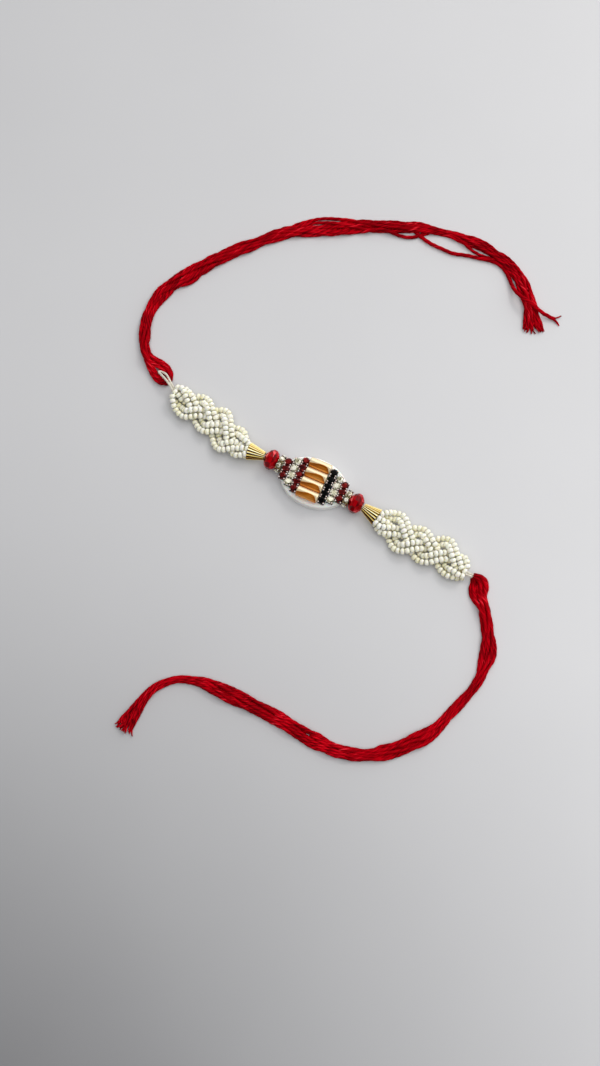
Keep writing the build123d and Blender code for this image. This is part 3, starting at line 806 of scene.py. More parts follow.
def bead_tree():
    """Beads along the edges of a mesh, each with its hole along the string."""
    tree, given = open_tree(
        "strung_beads", Pitch="Float", Bead_diameter="Float", Bead_length="Float", Bead_wall="Float")
    ring = add_node(tree, "ShaderNodeMath", {0: given["Bead diameter"], 1: 0.5}, operation="MULTIPLY")
    ring = add_node(tree, "ShaderNodeMath", {0: ring, 1: given["Bead wall"]}, operation="SUBTRACT")
    hoop = add_node(tree, "GeometryNodeCurvePrimitiveCircle", {"Resolution": 14, "Radius": ring})
    round_wall = add_node(tree, "GeometryNodeCurvePrimitiveCircle", {
        "Resolution": 8, "Radius": given["Bead wall"]})
    bead = add_node(tree, "GeometryNodeCurveToMesh", {"Curve": hoop, "Profile Curve": round_wall})
    bead = add_node(tree, "GeometryNodeSetShadeSmooth", {"Geometry": bead})
    stretch = add_node(tree, "ShaderNodeMath", {
        0: given["Bead length"], 1: given["Bead wall"]}, operation="DIVIDE")
    stretch = add_node(tree, "ShaderNodeMath", {0: stretch, 1: 0.5}, operation="MULTIPLY")
    size = add_node(tree, "ShaderNodeCombineXYZ", {0: 1.0, 1: 1.0, 2: stretch})
    bead = add_node(tree, "GeometryNodeTransform", {"Geometry": bead, "Scale": size})
    string = add_node(tree, "GeometryNodeMeshToCurve", {"Mesh": given["Geometry"]})
    string = add_node(tree, "GeometryNodeResampleCurve", {
        "Curve": string, "Length": given["Pitch"]}, mode="LENGTH")
    tangent = add_node(tree, "GeometryNodeInputTangent")
    tilt = add_node(tree, "FunctionNodeRandomValue", {
        "Min": [-bead_tilt] * 3, "Max": [bead_tilt] * 3, "Seed": 5}, data_type="FLOAT_VECTOR")
    aim = add_node(tree, "ShaderNodeVectorMath", {0: tangent, 1: tilt}, operation="ADD")
    turn = add_node(tree, "FunctionNodeAlignRotationToVector", {"Vector": aim}, axis="Z")
    sizes = add_node(tree, "FunctionNodeRandomValue", {
        "Min": (0.93, 0.93, 0.9), "Max": (1.03, 1.03, 1.05), "Seed": 8}, data_type="FLOAT_VECTOR")
    placed = add_node(tree, "GeometryNodeInstanceOnPoints", {
        "Points": string, "Instance": bead, "Rotation": turn, "Scale": sizes})
    shade = add_node(tree, "FunctionNodeRandomValue", {
        "Min": 0.1, "Max": 0.75, "Seed": 2}, data_type="FLOAT")
    stored = add_node(tree, "GeometryNodeStoreNamedAttribute", {
        "Geometry": placed, "Name": "bead_shade", "Value": shade.outputs["Value"]},
        data_type="FLOAT", domain="INSTANCE")
    real = add_node(tree, "GeometryNodeRealizeInstances", {"Geometry": stored})
    done = add_node(tree, "GeometryNodeSetMaterial", {"Geometry": real, "Material": seed_pearl})
    add_node(tree, "NodeGroupOutput", {0: done})
    return tree


# %% From lines to a plain mesh of beads
def line_mesh(name, lines):
    """Mesh of bare edges along lines of points."""
    points, edges = [], []
    for line in lines:
        first = len(points)
        points += [tuple(p) for p in line]
        edges += [(first + i, first + i + 1) for i in range(len(line) - 1)]
    mesh = bpy.data.meshes.new(name)
    mesh.from_pydata(points, edges, [])
    return mesh


def grown(name, mesh, tree, **inputs):
    """Plain mesh object that a Geometry Nodes tree makes from a mesh."""
    source = in_scene(name + "_source", mesh)
    modifier = source.modifiers.new("grow", "NODES")
    modifier.node_group = tree
    sockets = {item.name: item.identifier for item in tree.interface.items_tree
               if item.in_out == "INPUT"}
    for label, value in inputs.items():
        modifier[sockets[label.replace("_", " ")]] = value
    evaluated = source.evaluated_get(bpy.context.evaluated_depsgraph_get())
    made = bpy.data.meshes.new_from_object(evaluated)
    made.name = name
    source.modifiers.remove(modifier)
    bpy.data.objects.remove(source)
    return in_scene(name, made)


# %% Beads on all strands
bead_nodes = bead_tree()
for side, lines in strings.items():
    for strand in range(strand_count):
        name = f"beads_{side}_{strand + 1}"
        pair = [smooth_line("string", line[::steps_per_run]) for line in lines[2 * strand:2 * strand + 2]]
        beads = grown(name, line_mesh(name, pair), bead_nodes, Pitch=bead_pitch,
                      Bead_diameter=seed_diameter * MM, Bead_length=bead_length, Bead_wall=bead_wall)
        hand_over(beads, "seed_glass", f"bead_strand_{side}_{strand + 1}")
        print(name, len(beads.data.polygons), "faces")

# %% [markdown]
# ## White loops
#
# Beyond the beads the white thread makes a short loop, and the red threads are
# hitched into it. The loop's legs lie over the red fold, and its tip dips into
# the fold's eye.

# %% White loops at both ends, in mm
loop_thickness = 0.76
loop_lay = 1.8
loop_ring_step = 0.2
loop_outlines = {
    "left": [
        (-52.0, 4.95, 2.2), (-53.5, 5.85, 3.0), (-55.0, 6.65, 3.7), (-56.7, 7.4, 3.6),
        (-58.6, 8.2, 2.8), (-60.0, 8.85, 1.6), (-59.9, 9.35, 1.2), (-58.6, 9.4, 1.8),
        (-57.0, 9.0, 2.8), (-55.6, 8.0, 3.2), (-54.3, 7.1, 3.1), (-53.0, 6.4, 2.7), (-51.9, 5.6, 2.2),
    ],
    "right": [
        (53.5, -3.75, 2.2), (54.7, -3.6, 2.4), (55.7, -3.4, 2.2), (56.6, -3.35, 1.3),
        (57.4, -3.2, 0.6), (57.4, -2.75, 0.6), (56.6, -2.7, 1.3), (55.7, -2.8, 2.2),
        (54.7, -2.95, 2.4), (53.5, -2.8, 2.2),
    ],
}
for side, outline in loop_outlines.items():
    line = evenly(smooth_line("loop", outline), loop_ring_step * MM)
    shape = thread_shape(line, np.full(len(line), loop_thickness * MM), loop_lay * MM)
    hand_over(mesh_piece(f"loop_{side}", [shape], white_thread), "white_thread", f"white_loop_{side}")
    print("loop of", round(length_of(line) / MM), "mm")

# %% [markdown]
# ## Gold of the cones
#
# The end cones are thin pressed brass with a bright gold plate under lacquer. The crests of their flutes
# mirror the window, and the grooves are nearly black. A bare metal shader would mirror only the plain room of
# this scene, so part of the shine and shade is painted. A wave round the cone's own axis finds the flutes and
# puts painted shade in the grooves, and the side that the surface faces says how much of the window it would
# mirror, as a painted highlight. The side that faces away gets a painted reflection of the pale floor.

# %% Gold of the cones
cone_place = (17.1, 0.0, 3.25)
cone_length = 5.2
cone_drop = 0.4
cone_flutes = 18


def toward(right, up, height):
    """Direction on the floor given by the picture's right and up, plus a height."""
    flat_up = Vector((camera_up.x, camera_up.y, 0)).normalized()
    return (camera_right * right + flat_up * up + Vector((0, 0, height))).normalized()


def cone_gold(side):
    """Lacquered gold plate: a painted highlight where a flute faces the window, painted shade in its grooves,
    and a painted reflection of the floor below.
    """
    way = way_out[side]
    made, tree, place = new_material(f"gold_lacquered_cone_{side}")
    axis = Vector((math.cos(cone_turn) * way, -math.sin(cone_turn), -cone_drop / cone_length))
    upright = axis.normalized().rotation_difference(Vector((0, 0, 1))).to_euler()
    middle = Vector((cone_place[0] * way, cone_place[1], cone_place[2])) * MM
    moved = add_node(tree, "ShaderNodeVectorMath", {0: place, 1: middle}, operation="SUBTRACT")
    turned = add_node(tree, "ShaderNodeMapping", {
        "Vector": moved, "Rotation": upright}, vector_type="POINT")
    parts = add_node(tree, "ShaderNodeSeparateXYZ", {0: turned})
    angle = add_node(tree, "ShaderNodeMath", {
        0: parts.outputs["Y"], 1: parts.outputs["X"]}, operation="ARCTAN2")
    waves = add_node(tree, "ShaderNodeMath", {0: angle, 1: cone_flutes}, operation="MULTIPLY")
    # Painted shade: the grooves between the flutes are dark.
    crest = add_node(tree, "ShaderNodeMath", {0: waves}, operation="COSINE")
    # Painted highlight: brighter where the surface faces the window.
    facing = add_node(tree, "ShaderNodeVectorMath", {
        0: add_node(tree, "ShaderNodeTexCoord").outputs["Normal"], 1: toward(0.35, 0.3, 0.9)},
        operation="DOT_PRODUCT").outputs["Value"]
    # Painted reflection of the pale floor on the side that faces away.
    painted_floor_reflection = add_node(tree, "ShaderNodeMath", {
        0: 0.3, 1: facing}, operation="SUBTRACT", use_clamp=True)
    tarnish = add_node(tree, "ShaderNodeTexNoise", {
        "Vector": place, "Scale": 1 / (0.8 * MM), "Detail": 3.0})
    level = weigh(tree, [(crest, 0.3), (facing, 1.3), (painted_floor_reflection, 2.6), (tarnish, 0.1)], -0.48)
    surface(tree, level, [
        (0.1, "#120600"), (0.36, "#4A2204"), (0.5, "#C0801A"), (0.64, "#FFD850"),
        (0.82, "#FFF2A0"), (1.0, "#FFFDD8")], Metallic=0.35, Roughness=0.26, Specular_IOR_Level=0.15)
    return made


for side in way_out:
    finish_with(cone_gold(side), f"cone_{side}")
print("cones have", cone_flutes, "flutes each")

# %% [markdown]
# ## Plated cups and spacers
#
# The cups that hold the stones are pressed from thin plated metal. Deep down they get painted shade, tinted
# with the colour of their stones as a painted reflection, so there is one metal for each colour, and only the
# rims show the bright plate. The spacers are silver plate, darker and browner towards the bottom. A ramp over
# height gives both.

# %% Metals of cups and spacers
def plated_metal(name, stops, dark_at, bright_at, speckle, **inputs):
    """Plated metal, dark up to one height in mm and bright above another.

    An input that is a list of stops follows the level as the colour does.
    """
    made, tree, place = new_material(name)
    parts = add_node(tree, "ShaderNodeSeparateXYZ", {0: place})
    spots = add_node(tree, "ShaderNodeTexNoise", {
        "Vector": place, "Scale": 1 / (0.6 * MM), "Detail": 2.0})
    height = add_node(tree, "ShaderNodeMapRange", {
        "Value": parts.outputs["Z"], "From Min": dark_at * MM, "From Max": bright_at * MM})
    level = weigh(tree, [(height, 1.0), (spots, speckle)])
    for socket, value in inputs.items():
        if isinstance(value, list):
            inputs[socket] = add_node(tree, "ShaderNodeValToRGB", {0: level}, value)
    surface(tree, level, stops, **inputs)
    return made


# Painted shade deep in the cups, tinted with the colour of their stones as a painted reflection.
cup_painted_shade = {"garnet": ("#1C0204", "#5A0C10"), "clear": ("#2A2618", "#6A6450"),
                  "black": ("#050302", "#140A08")}
setting_metal = {
    colour: plated_metal(
        f"plated_setting_metal_{colour}",
        [(0.1, deep), (0.83, low), (0.9, "#7A6458"), (1.0, "#D8C4BA")],
        dark_at=3.0, bright_at=4.75, speckle=0.04,
        Roughness=[(0.83, "#D8D8D8"), (0.9, "#808080")], Metallic=[(0.83, "#000000"), (0.9, "#B0B0B0")])
    for colour, (deep, low) in cup_painted_shade.items()
}
# Darker and browner towards the bottom, by height.
spacer_metal = plated_metal(
    "plated_spacer_metal",
    [(0.0, "#3A2E1C"), (0.5, "#A88F58"), (0.9, "#E4CE8E"), (1.0, "#F6E6B4")],
    dark_at=0.0, bright_at=6.0, speckle=0.2, Roughness=0.216, Metallic=1.0)

# Each row of the middle: colour of its stones, side, rank from the tubes, number of stones
stone_rows = {
    "garnet_row_inner_left": ("garnet", -1, 0, 5), "clear_row_left": ("clear", -1, 1, 4),
    "garnet_row_outer_left": ("garnet", -1, 2, 3), "black_row_right": ("black", 1, 0, 5),
    "clear_row_right": ("clear", 1, 1, 4), "garnet_row_outer_right": ("garnet", 1, 2, 3),
}
for row, (colour, *_) in stone_rows.items():
    finish_with(setting_metal[colour], f"{row}_cups")
for side in way_out:
    finish_with(spacer_metal, f"spacer_{side}")
    finish_with(white_thread, f"string_thread_{side}")
print("cups of", len(stone_rows), "rows and both spacers are plated")

# %% [markdown]
# ## Pearl tubes and pad
#
# The four tubes are glass with a champagne pearl lacquer that holds fine flakes of metal leaf. A half
# metallic shader with a thin clear coat gives the soft shine. On top of it each tube has a painted
# reflection: cream on one side and amber on the other, with a border that wanders along the tube. A curve
# along the tube says where the border is. The amber is darkest along it and pales towards the tube's edge,
# and a noise drawn out along the tube makes the streaks of the leaf. The pad is moulded plastic, white and
# glossy.

# %% Material of the tubes
tube_length = 6.9
tube_pitch = 3.31
medallion_turn = math.radians(4.5)
lacquer, tree, place = new_material("champagne_pearl_lacquer")
turned = add_node(tree, "ShaderNodeMapping", {
    "Vector": place, "Rotation": (0, 0, -medallion_turn), "Scale": [1 / MM] * 3}, vector_type="POINT")
parts = add_node(tree, "ShaderNodeSeparateXYZ", {0: turned})
share = add_node(tree, "ShaderNodeMapRange", {
    "Value": parts.outputs["X"], "From Min": -tube_length / 2, "From Max": tube_length / 2})
border = add_node(tree, "ShaderNodeFloatCurve", {"Value": share})
curve = border.mapping.curves[0]
curve.points[0].location = (0.0, 0.30)
curve.points[1].location = (1.0, 0.05)
for spot in ((0.25, 0.40), (0.6, 0.55), (0.8, 0.50), (0.93, 0.26)):
    curve.points.new(*spot)
border.mapping.update()
across = add_node(tree, "ShaderNodeMath", {
    0: parts.outputs["Y"], 1: tube_pitch, 2: 0.0}, operation="WRAP")
beyond = weigh(tree, [(across, 1 / tube_pitch), (border, -1.0)])
# Painted reflection: cream above the border, amber below it, palest at the tube's edge.
lit = add_node(tree, "ShaderNodeMapRange", {
    "Value": beyond, "From Min": -0.06, "From Max": 0.09}, interpolation_type="SMOOTHSTEP")
paling = add_node(tree, "ShaderNodeMapRange", {
    "Value": beyond, "From Min": -0.42, "From Max": -0.02, "To Min": 0.16, "To Max": -0.1})
drawn_out = add_node(tree, "ShaderNodeMapping", {"Vector": turned, "Scale": (0.2, 1.6, 1.6)})
streaks = add_node(tree, "ShaderNodeTexNoise", {"Vector": drawn_out, "Scale": 1.0, "Detail": 3.0})
bump = add_node(tree, "ShaderNodeBump", {"Height": streaks, "Strength": 0.2, "Distance": 0.04 * MM})
level = weigh(tree, [(lit, 1.0), (paling, 1.0), (streaks, 0.5)])
surface(tree, level, [
    (0.12, "#8C4200"), (0.26, "#C8700C"), (0.42, "#E89A3C"), (0.74, "#F4CE92"), (0.94, "#FFEBC4")],
    Normal=bump, Metallic=0.5, Roughness=0.17, Coat_Weight=0.35, Coat_Roughness=0.04)
finish_with(lacquer, *[f"pearl_tube_{i}" for i in range(1, 5)])
print("tubes have", lacquer.name)

# %% Material of the pad
pad_plastic, tree, place = new_material("moulded_plastic_pad_glossy")
cloud = add_node(tree, "ShaderNodeTexNoise", {"Vector": place, "Scale": 1 / (4 * MM), "Detail": 2.0})
bump = add_node(tree, "ShaderNodeBump", {"Height": cloud, "Strength": 0.15, "Distance": 0.1 * MM})
surface(tree, cloud, [(0.3, "#F4F1E9"), (0.7, "#FEFCF7")], Normal=bump, Roughness=0.3, IOR=1.5,
        Coat_Weight=0.6, Coat_Roughness=0.06, Subsurface_Weight=0.2, Subsurface_Scale=1.5 * MM)
finish_with(pad_plastic, "backing_pad")
print("pad has", pad_plastic.name)

# %% [markdown]
# ## Cut stones
#
# The stones are small round brilliants of cut glass: a flat table, a ring of
# kites and triangles down to the girdle, and a pointed back. The clear ones have
# a mirror foil behind them. Light goes in, jumps about between the facets and
# comes out somewhere else, so one facet is nearly white while the next is nearly
# black. At this size that play matters more than true refraction, and it is
# noisy to compute. So each facet gets a random number of its own, and a colour
# ramp turns it into the light that such a facet would give back.
#
# There are 38 stones, all one shape, so Geometry Nodes set them: a mesh of bare
# points says where, an attribute on each point says which way the table looks.
# The same tree sets the collars of the spacers' stones and the tips of the prongs.

# %% Shape of a brilliant
# Rings from the table to the point of the back: corners, radius, height, turn in corners
brilliant_rings = [
    (8, 0.56, 0.46, 0), (8, 0.8, 0.3, 0.5), (16, 1.0, 0.04, 0), (16, 1.0, -0.04, 0),
    (8, 0.5, -0.4, 0.5), (1, 0.0, -0.85, 0),
]


def outward_mesh(name, points, faces):
    """Mesh whose faces all point outwards."""
    mesh = bpy.data.meshes.new(name)
    mesh.from_pydata(points, [], faces)
    shape = bmesh.new()
    shape.from_mesh(mesh)
    bmesh.ops.recalc_face_normals(shape, faces=shape.faces)
    shape.to_mesh(mesh)
    shape.free()
    return mesh


def brilliant_mesh():
    """Round brilliant of radius 1, with its girdle at height 0 and its table up."""
    points = []
    for count, radius, height, turn in brilliant_rings:
        for i in range(count):
            angle = 2 * math.pi * (i + turn) / count
            points.append((radius * math.cos(angle), radius * math.sin(angle), height))
    top, stars, upper, lower, backs, tip = 0, 8, 16, 32, 48, 56
    faces = [tuple(top + i for i in range(8))]
    for i in range(8):
        after, before = (i + 1) % 8, (i - 1) % 8
        left, middle, right = 2 * i, 2 * i + 1, (2 * i + 2) % 16
        faces += [
            (top + i, stars + i, top + after),
            (top + i, stars + before, upper + left, stars + i),
            (stars + i, upper + left, upper + middle),
            (stars + i, upper + middle, upper + right),
            (upper + left, lower + left, lower + middle, upper + middle),
            (upper + middle, lower + middle, lower + right, upper + right),
            (lower + left, backs + i, lower + middle),
            (lower + middle, backs + i, lower + right),
            (lower + left, backs + before, tip, backs + i),
        ]
    return outward_mesh("brilliant_pattern", points, faces)


# %% Shapes of a collar and a prong's tip
collar_profile = [(1.0, -0.5), (1.22, -0.5), (1.22, 0.05), (1.16, 0.16), (1.06, 0.16), (1.0, 0.05)]
collar_sides = 20


def collar_mesh():
    """Open ring of metal round a stone of radius 1, rounded on top."""
    size = len(collar_profile)
    points, faces = [], []
    for i in range(collar_sides):
        angle = 2 * math.pi * i / collar_sides
        points += [(r * math.cos(angle), r * math.sin(angle), z) for r, z in collar_profile]
        here, there = i * size, (i + 1) % collar_sides * size
        for k in range(size):
            after = (k + 1) % size
            faces.append((here + k, here + after, there + after, there + k))
    return outward_mesh("collar_pattern", points, faces)


def ball_mesh():
    """Small ball of radius 1, for the tips of the prongs."""
    mesh = bpy.data.meshes.new("ball_pattern")
    shape = bmesh.new()
    bmesh.ops.create_icosphere(shape, subdivisions=2, radius=1.0)
    shape.to_mesh(mesh)
    shape.free()
    mesh.shade_smooth()
    return mesh


patterns = [in_scene(mesh.name, mesh) for mesh in (brilliant_mesh(), collar_mesh(), ball_mesh())]
brilliant, collar, ball = patterns
print("brilliant:", len(brilliant.data.polygons), "facets")

# %% Geometry Nodes tree that sets the stones
def setting_tree():
    """A copy of a pattern on each point, with its Z axis along the point's own direction."""
    tree, given = open_tree("set_stones", Pattern="Object", Radius="Float", Finish="Material")
    pattern = add_node(tree, "GeometryNodeObjectInfo", {"Object": given["Pattern"]})
    facing = add_node(tree, "GeometryNodeInputNamedAttribute", {"Name": "facing"},
                      data_type="FLOAT_VECTOR")
    aim = add_node(tree, "FunctionNodeAlignRotationToVector", {
        "Vector": facing.outputs["Attribute"]}, axis="Z")
    spin = add_node(tree, "FunctionNodeRandomValue", {
        "Min": (0.0, 0.0, 0.0), "Max": (0.0, 0.0, 6.28), "Seed": 3}, data_type="FLOAT_VECTOR")
    spin = add_node(tree, "FunctionNodeEulerToRotation", {0: spin})
    turn = add_node(tree, "FunctionNodeRotateRotation", {
        "Rotation": aim, "Rotate By": spin}, rotation_space="LOCAL")
    size = add_node(tree, "ShaderNodeCombineXYZ", {axis: given["Radius"] for axis in range(3)})
    placed = add_node(tree, "GeometryNodeInstanceOnPoints", {
        "Points": given["Geometry"], "Instance": pattern.outputs["Geometry"],
        "Rotation": turn, "Scale": size})
    real = add_node(tree, "GeometryNodeRealizeInstances", {"Geometry": placed})
    play = add_node(tree, "FunctionNodeRandomValue", {"Seed": 11}, data_type="FLOAT")
    stored = add_node(tree, "GeometryNodeStoreNamedAttribute", {
        "Geometry": real, "Name": "facet_light", "Value": play.outputs["Value"]},
        data_type="FLOAT", domain="FACE")
    done = add_node(tree, "GeometryNodeSetMaterial", {
        "Geometry": stored, "Material": given["Finish"]})
    add_node(tree, "NodeGroupOutput", {0: done})
    return tree


def places_mesh(name, places):
    """Mesh of bare points, each with the direction it faces. Places are (point in mm, direction)."""
    mesh = bpy.data.meshes.new(name)
    mesh.from_pydata([tuple(Vector(point) * MM) for point, _ in places], [], [])
    facing = mesh.attributes.new("facing", "FLOAT_VECTOR", "POINT")
    facing.data.foreach_set("vector", [c for _, way in places for c in way])
    return mesh


set_stones = setting_tree()
print("tree for the stones has", len(set_stones.nodes), "nodes")

# %% [markdown]
# The cut glass is named for its colour. Clear glass with foil gives back anything from near black to white,
# the dark red glass only dull reds, and the black glass next to nothing but a glint from its polish. The
# prong tips are bare plate, painted near white as a glint, and the collars are silver plate.

# %% Materials of the stones, prongs and collars
def facet_glass(name, stops, **inputs):
    """Cut glass whose facets each give back their own share of the light."""
    made, tree, place = new_material(name)
    light = add_node(tree, "ShaderNodeAttribute", attribute_name="facet_light")
    cloud = add_node(tree, "ShaderNodeTexNoise", {
        "Vector": place, "Scale": 1 / (0.35 * MM), "Detail": 1.0})
    level = weigh(tree, [(light.outputs["Fac"], 1.0), (cloud, 0.8)], -0.4)
    surface(tree, level, stops, **inputs)
    return made


def clouded_metal(name, stops, cloud_mm, detail, **inputs):
    """Metal whose colour drifts in clouds of the given size."""
    made, tree, place = new_material(name)
    cloud = add_node(tree, "ShaderNodeTexNoise", {
        "Vector": place, "Scale": 1 / (cloud_mm * MM), "Detail": detail})
    surface(tree, cloud, stops, **inputs)
    return made


stone_glass = {
    "clear": facet_glass(
        "cut_glass_clear_foiled",
        [(0.0, "#2A2818"), (0.18, "#6E6A4E"), (0.36, "#C2BC9A"), (0.62, "#F0ECD4"), (1.0, "#FFFFFA")],
        Metallic=0.15, Roughness=0.08, Coat_Weight=0.6, Coat_Roughness=0.03),
    "garnet": facet_glass(
        "cut_glass_garnet",
        [(0.0, "#1E0304"), (0.35, "#3E0608"), (0.65, "#5A0C0C"), (0.88, "#7C1616"), (1.0, "#B44440")],
        Roughness=0.15, Coat_Weight=0.15, Coat_Roughness=0.05, Specular_IOR_Level=0.2),
    "black": facet_glass(
        "cut_glass_black", [(0.0, "#010101"), (0.8, "#060506"), (1.0, "#1A1819")],
        Roughness=0.15, Coat_Weight=0.1, Coat_Roughness=0.05, Specular_IOR_Level=0.15),
}
# Painted glint: the tips are near white.
prong_glint_metal = clouded_metal(
    "plated_prong_tips", [(0.3, "#E8BCAE"), (0.5, "#FFEEE6"), (0.7, "#FFFFFF")],
    cloud_mm=0.5, detail=1.0, Metallic=0.35, Roughness=0.3)
silver = clouded_metal(
    "silver_plated_collar", [(0.3, "#8F8A7E"), (0.55, "#E9E6DE"), (0.8, "#FFFFFF")],
    cloud_mm=0.7, detail=2.0, Metallic=1.0, Roughness=0.2)
print("facet materials:", sorted(stone_glass))

# %% [markdown]
# In the rows the stones fill their cups to the edge, and the four prongs of each
# cup bend over them. So the brilliants are a little wider than the plain stones
# of the CAD, in the same places, and none sits quite level. The stones of the
# spacers face outwards all round, and each has a collar.

# %% Stones in the rows
medallion = Matrix.Rotation(medallion_turn, 3, "Z")
cup_diameter = 2.2
cup_pitch = 2.37
row_gap = 0.15
girdle_height = 4.42
row_stone_radius = 1.17 * MM
stone_lean = 0.08
prong_out = 1.18
prong_height = 4.56
prong_tip_radius = 0.24 * MM
for row, (colour, side, rank, count) in stone_rows.items():
    along = side * (tube_length / 2 + row_gap + cup_diameter / 2 + rank * (cup_diameter + row_gap))
    chance = np.random.default_rng([rank, count, side + 2])
    places, tips = [], []
    for i in range(count):
        offset = (i - (count - 1) / 2) * cup_pitch
        lean = Vector((chance.normal() * stone_lean, chance.normal() * stone_lean, 1)).normalized()
        places.append((medallion @ Vector((along, offset, girdle_height)), lean))
        for corner in range(4):
            angle = math.pi / 4 + corner * math.pi / 2
            tip = Vector((along + prong_out * math.cos(angle), offset + prong_out * math.sin(angle),
                          prong_height))
            tips.append((medallion @ tip, (0.0, 0.0, 1.0)))
    stones = grown(f"stones_{row}", places_mesh(row, places), set_stones, Pattern=brilliant,
                   Radius=row_stone_radius, Finish=stone_glass[colour])
    hand_over(stones, f"{colour}_stone", f"{row}_stones")
    prongs = grown(f"prong_tips_{row}", places_mesh("tips", tips), set_stones, Pattern=ball,
                   Radius=prong_tip_radius, Finish=prong_glint_metal)
    hand_over(prongs, "setting")
print("stones in", len(stone_rows), "rows")

# %% Stones and collars of the spacers
rows_end = 10.7
spacer_width = 1.6
spacer_middle = rows_end + row_gap + spacer_width / 2
spacer_axis_height = 3.25
spacer_reach = 2.66
spacer_stone_count = 7
spacer_stone_radius = 0.7 * MM
for side, way in way_out.items():
    places = []
    for i in range(spacer_stone_count):
        angle = 2 * math.pi * i / spacer_stone_count
        out = Vector((0, way * math.sin(angle), -math.cos(angle)))
        places.append((Vector((way * spacer_middle, 0, spacer_axis_height)) + out * spacer_reach, out))
    stones = grown(f"spacer_stones_set_{side}", places_mesh("stones", places), set_stones,
                   Pattern=brilliant, Radius=spacer_stone_radius, Finish=stone_glass["clear"])
    hand_over(stones, "clear_stone", f"spacer_stones_{side}")
    collars = grown(f"spacer_collars_set_{side}", places_mesh("collars", places), set_stones,
                    Pattern=collar, Radius=spacer_stone_radius, Finish=silver)
    hand_over(collars, "spacer_metal")
for pattern in patterns:
    bpy.data.objects.remove(pattern)
print("spacers set")

# %% [markdown]
# ## Red beads
#
# The two red beads are glass, cut all round. Here too every facet shows a
# different red. The CAD mesh has no number per facet, but each facet is flat, so
# its normal is one vector all over. Rounded off and fed to White Noise, it gives
# each facet a steady random value. The red is so deep that hardly any light gets
# through the glass, and its polish is a thin clear coat.

# %% Glass of the red beads
crystal_glass, tree, place = new_material("cut_glass_crystal_red")
facet = add_node(tree, "ShaderNodeNewGeometry")
steps = add_node(tree, "ShaderNodeVectorMath", {
    0: facet.outputs["True Normal"], 1: (0.08, 0.08, 0.08)}, operation="SNAP")
play = add_node(tree, "ShaderNodeTexWhiteNoise", {0: steps})
cloud = add_node(tree, "ShaderNodeTexNoise", {"Vector": place, "Scale": 1 / (1.6 * MM), "Detail": 1.0})
# The ramp paints each facet's light, from deep red up to a pink highlight.
level = weigh(tree, [(play.outputs["Value"], 1.0), (cloud, 0.5)], -0.25)
surface(tree, level, [
    (0.0, "#540004"), (0.4, "#8A0008"), (0.74, "#B4020E"), (0.9, "#D41C2A"), (1.0, "#F87070")],
    Roughness=0.06, IOR=1.52, Specular_IOR_Level=0.1, Transmission_Weight=0.05,
    Coat_Weight=0.08, Coat_Roughness=0.02)
finish_with(crystal_glass, "crystal_left", "crystal_right")
print("red beads have", crystal_glass.name)

# %% [markdown]
# ## Floor and light
#
# The bracelet lies on a pale grey sheet in daylight from the upper right. The floor carries a painted shadow
# that is darkest in the lower left corner, and painted light that makes it lighter to the right. One small
# soft disc of light stands for the window, and a wide one overhead for the light that comes back from a
# bright room. The wide one isn't seen in reflections. The world behind them is bright on the window's side
# and dim straight above, so that metal and glass have something to mirror.

# %% Floor
floor_reach = 1.6
corner_distance = 0.28
# Painted shadow: the floor is darker near this corner, and painted light makes it lighter to the right.
painted_shadow_corner = tuple(toward(-0.42, -0.9, 0.0) * corner_distance)
floor_material, tree, place = new_material("paper_sheet_pale_grey")
cloud = add_node(tree, "ShaderNodeTexNoise", {"Vector": place, "Scale": 1 / (60 * MM), "Detail": 3.0})
from_corner = add_node(tree, "ShaderNodeVectorMath", {0: place, 1: painted_shadow_corner}, operation="DISTANCE")
painted_shadow_fade = add_node(tree, "ShaderNodeMapRange", {
    "Value": from_corner.outputs["Value"], "From Min": 0.02, "From Max": 0.3, "To Max": 0.8},
    interpolation_type="SMOOTHSTEP")
painted_light_rightward = add_node(tree, "ShaderNodeVectorMath", {
    0: place, 1: toward(1.0, 0.0, 0.0)}, operation="DOT_PRODUCT")
level = weigh(tree, [(painted_shadow_fade, 1.0), (cloud, 0.06), (painted_light_rightward.outputs["Value"], 1.1)])
surface(tree, level, [(0.0, "#747476"), (0.35, "#A2A2A4"), (0.8, "#C8C8CA"), (0.95, "#D6D6D8")],
        Roughness=0.85)
corners = [(x * floor_reach, y * floor_reach, 0) for x, y in ((-1, -1), (1, -1), (1, 1), (-1, 1))]
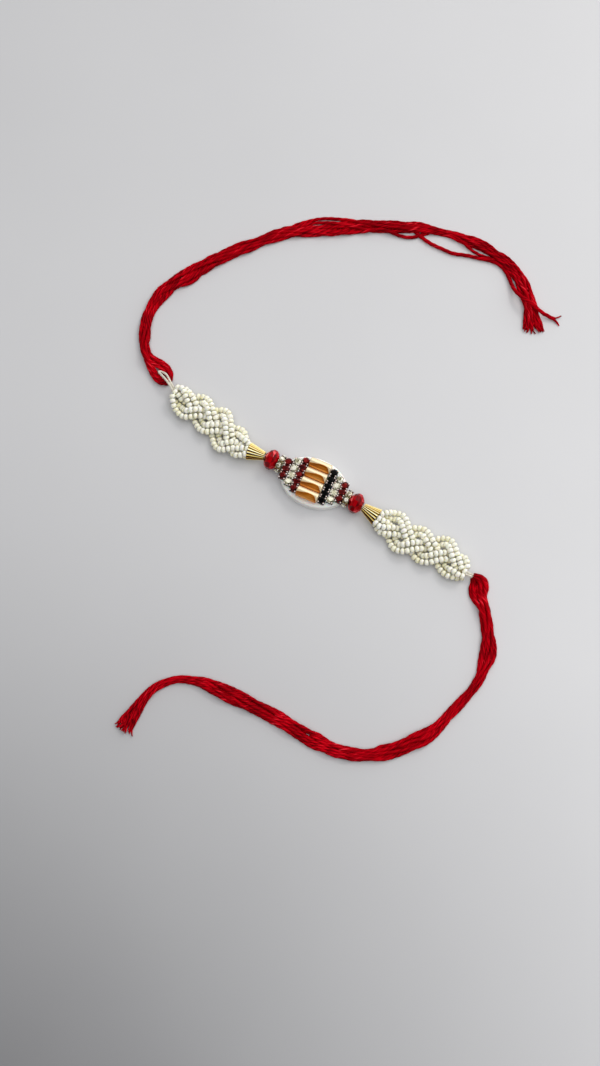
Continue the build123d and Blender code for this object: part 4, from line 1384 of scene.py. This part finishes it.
mesh = bpy.data.meshes.new("floor")
mesh.from_pydata(corners, [], [(0, 1, 2, 3)])
mesh.materials.append(floor_material)
in_scene("floor", mesh)
print("floor of", 2 * floor_reach, "m")

# %% Light
def disc_light(name, way, distance, size, power):
    """Round soft light that shines from a direction on the middle of the piece."""
    made = in_scene(name, bpy.data.lights.new(name, "AREA"))
    made.data.shape = "DISK"
    made.data.size = size
    made.data.energy = power
    turn = way.to_track_quat("Z", "Y").to_matrix().to_4x4()
    made.matrix_world = Matrix.Translation(way * distance) @ turn
    return made


window = disc_light("window", toward(0.7, 0.7, 1.0), distance=1.1, size=0.28, power=2.0)
window.data.color = linear("#FFFAF2")[:3]
fill = disc_light("fill", toward(0.05, -0.12, 1.0), distance=1.2, size=1.6, power=11.5)
fill.visible_glossy = False
fill.visible_camera = False
print("window and fill light set")

# %% Room
room = bpy.data.worlds.new("room")
bpy.context.scene.world = room
room.use_nodes = True
tree = room.node_tree
tree.nodes.clear()
place = add_node(tree, "ShaderNodeTexCoord").outputs["Generated"]
lit_side = add_node(tree, "ShaderNodeVectorMath", {
    0: place, 1: toward(0.7, 0.75, 0.5)}, operation="DOT_PRODUCT")
lit_side = add_node(tree, "ShaderNodeMapRange", {
    "Value": lit_side.outputs["Value"], "From Min": 0.3, "From Max": 0.85, "To Min": 0.2,
    "To Max": 1.3}, interpolation_type="SMOOTHSTEP")
overhead = add_node(tree, "ShaderNodeVectorMath", {
    0: place, 1: toward(-0.05, 0.0, 1.0)}, operation="DOT_PRODUCT")
overhead = add_node(tree, "ShaderNodeMapRange", {
    "Value": overhead.outputs["Value"], "From Min": 0.82, "From Max": 0.92, "To Min": 1.0,
    "To Max": 0.1}, interpolation_type="SMOOTHSTEP")
level = add_node(tree, "ShaderNodeMath", {0: lit_side, 1: overhead}, operation="MULTIPLY")
sky = add_node(tree, "ShaderNodeBackground", {"Color": linear("#F4F5F6"), "Strength": level})
add_node(tree, "ShaderNodeOutputWorld", {0: sky})
print("room light set")
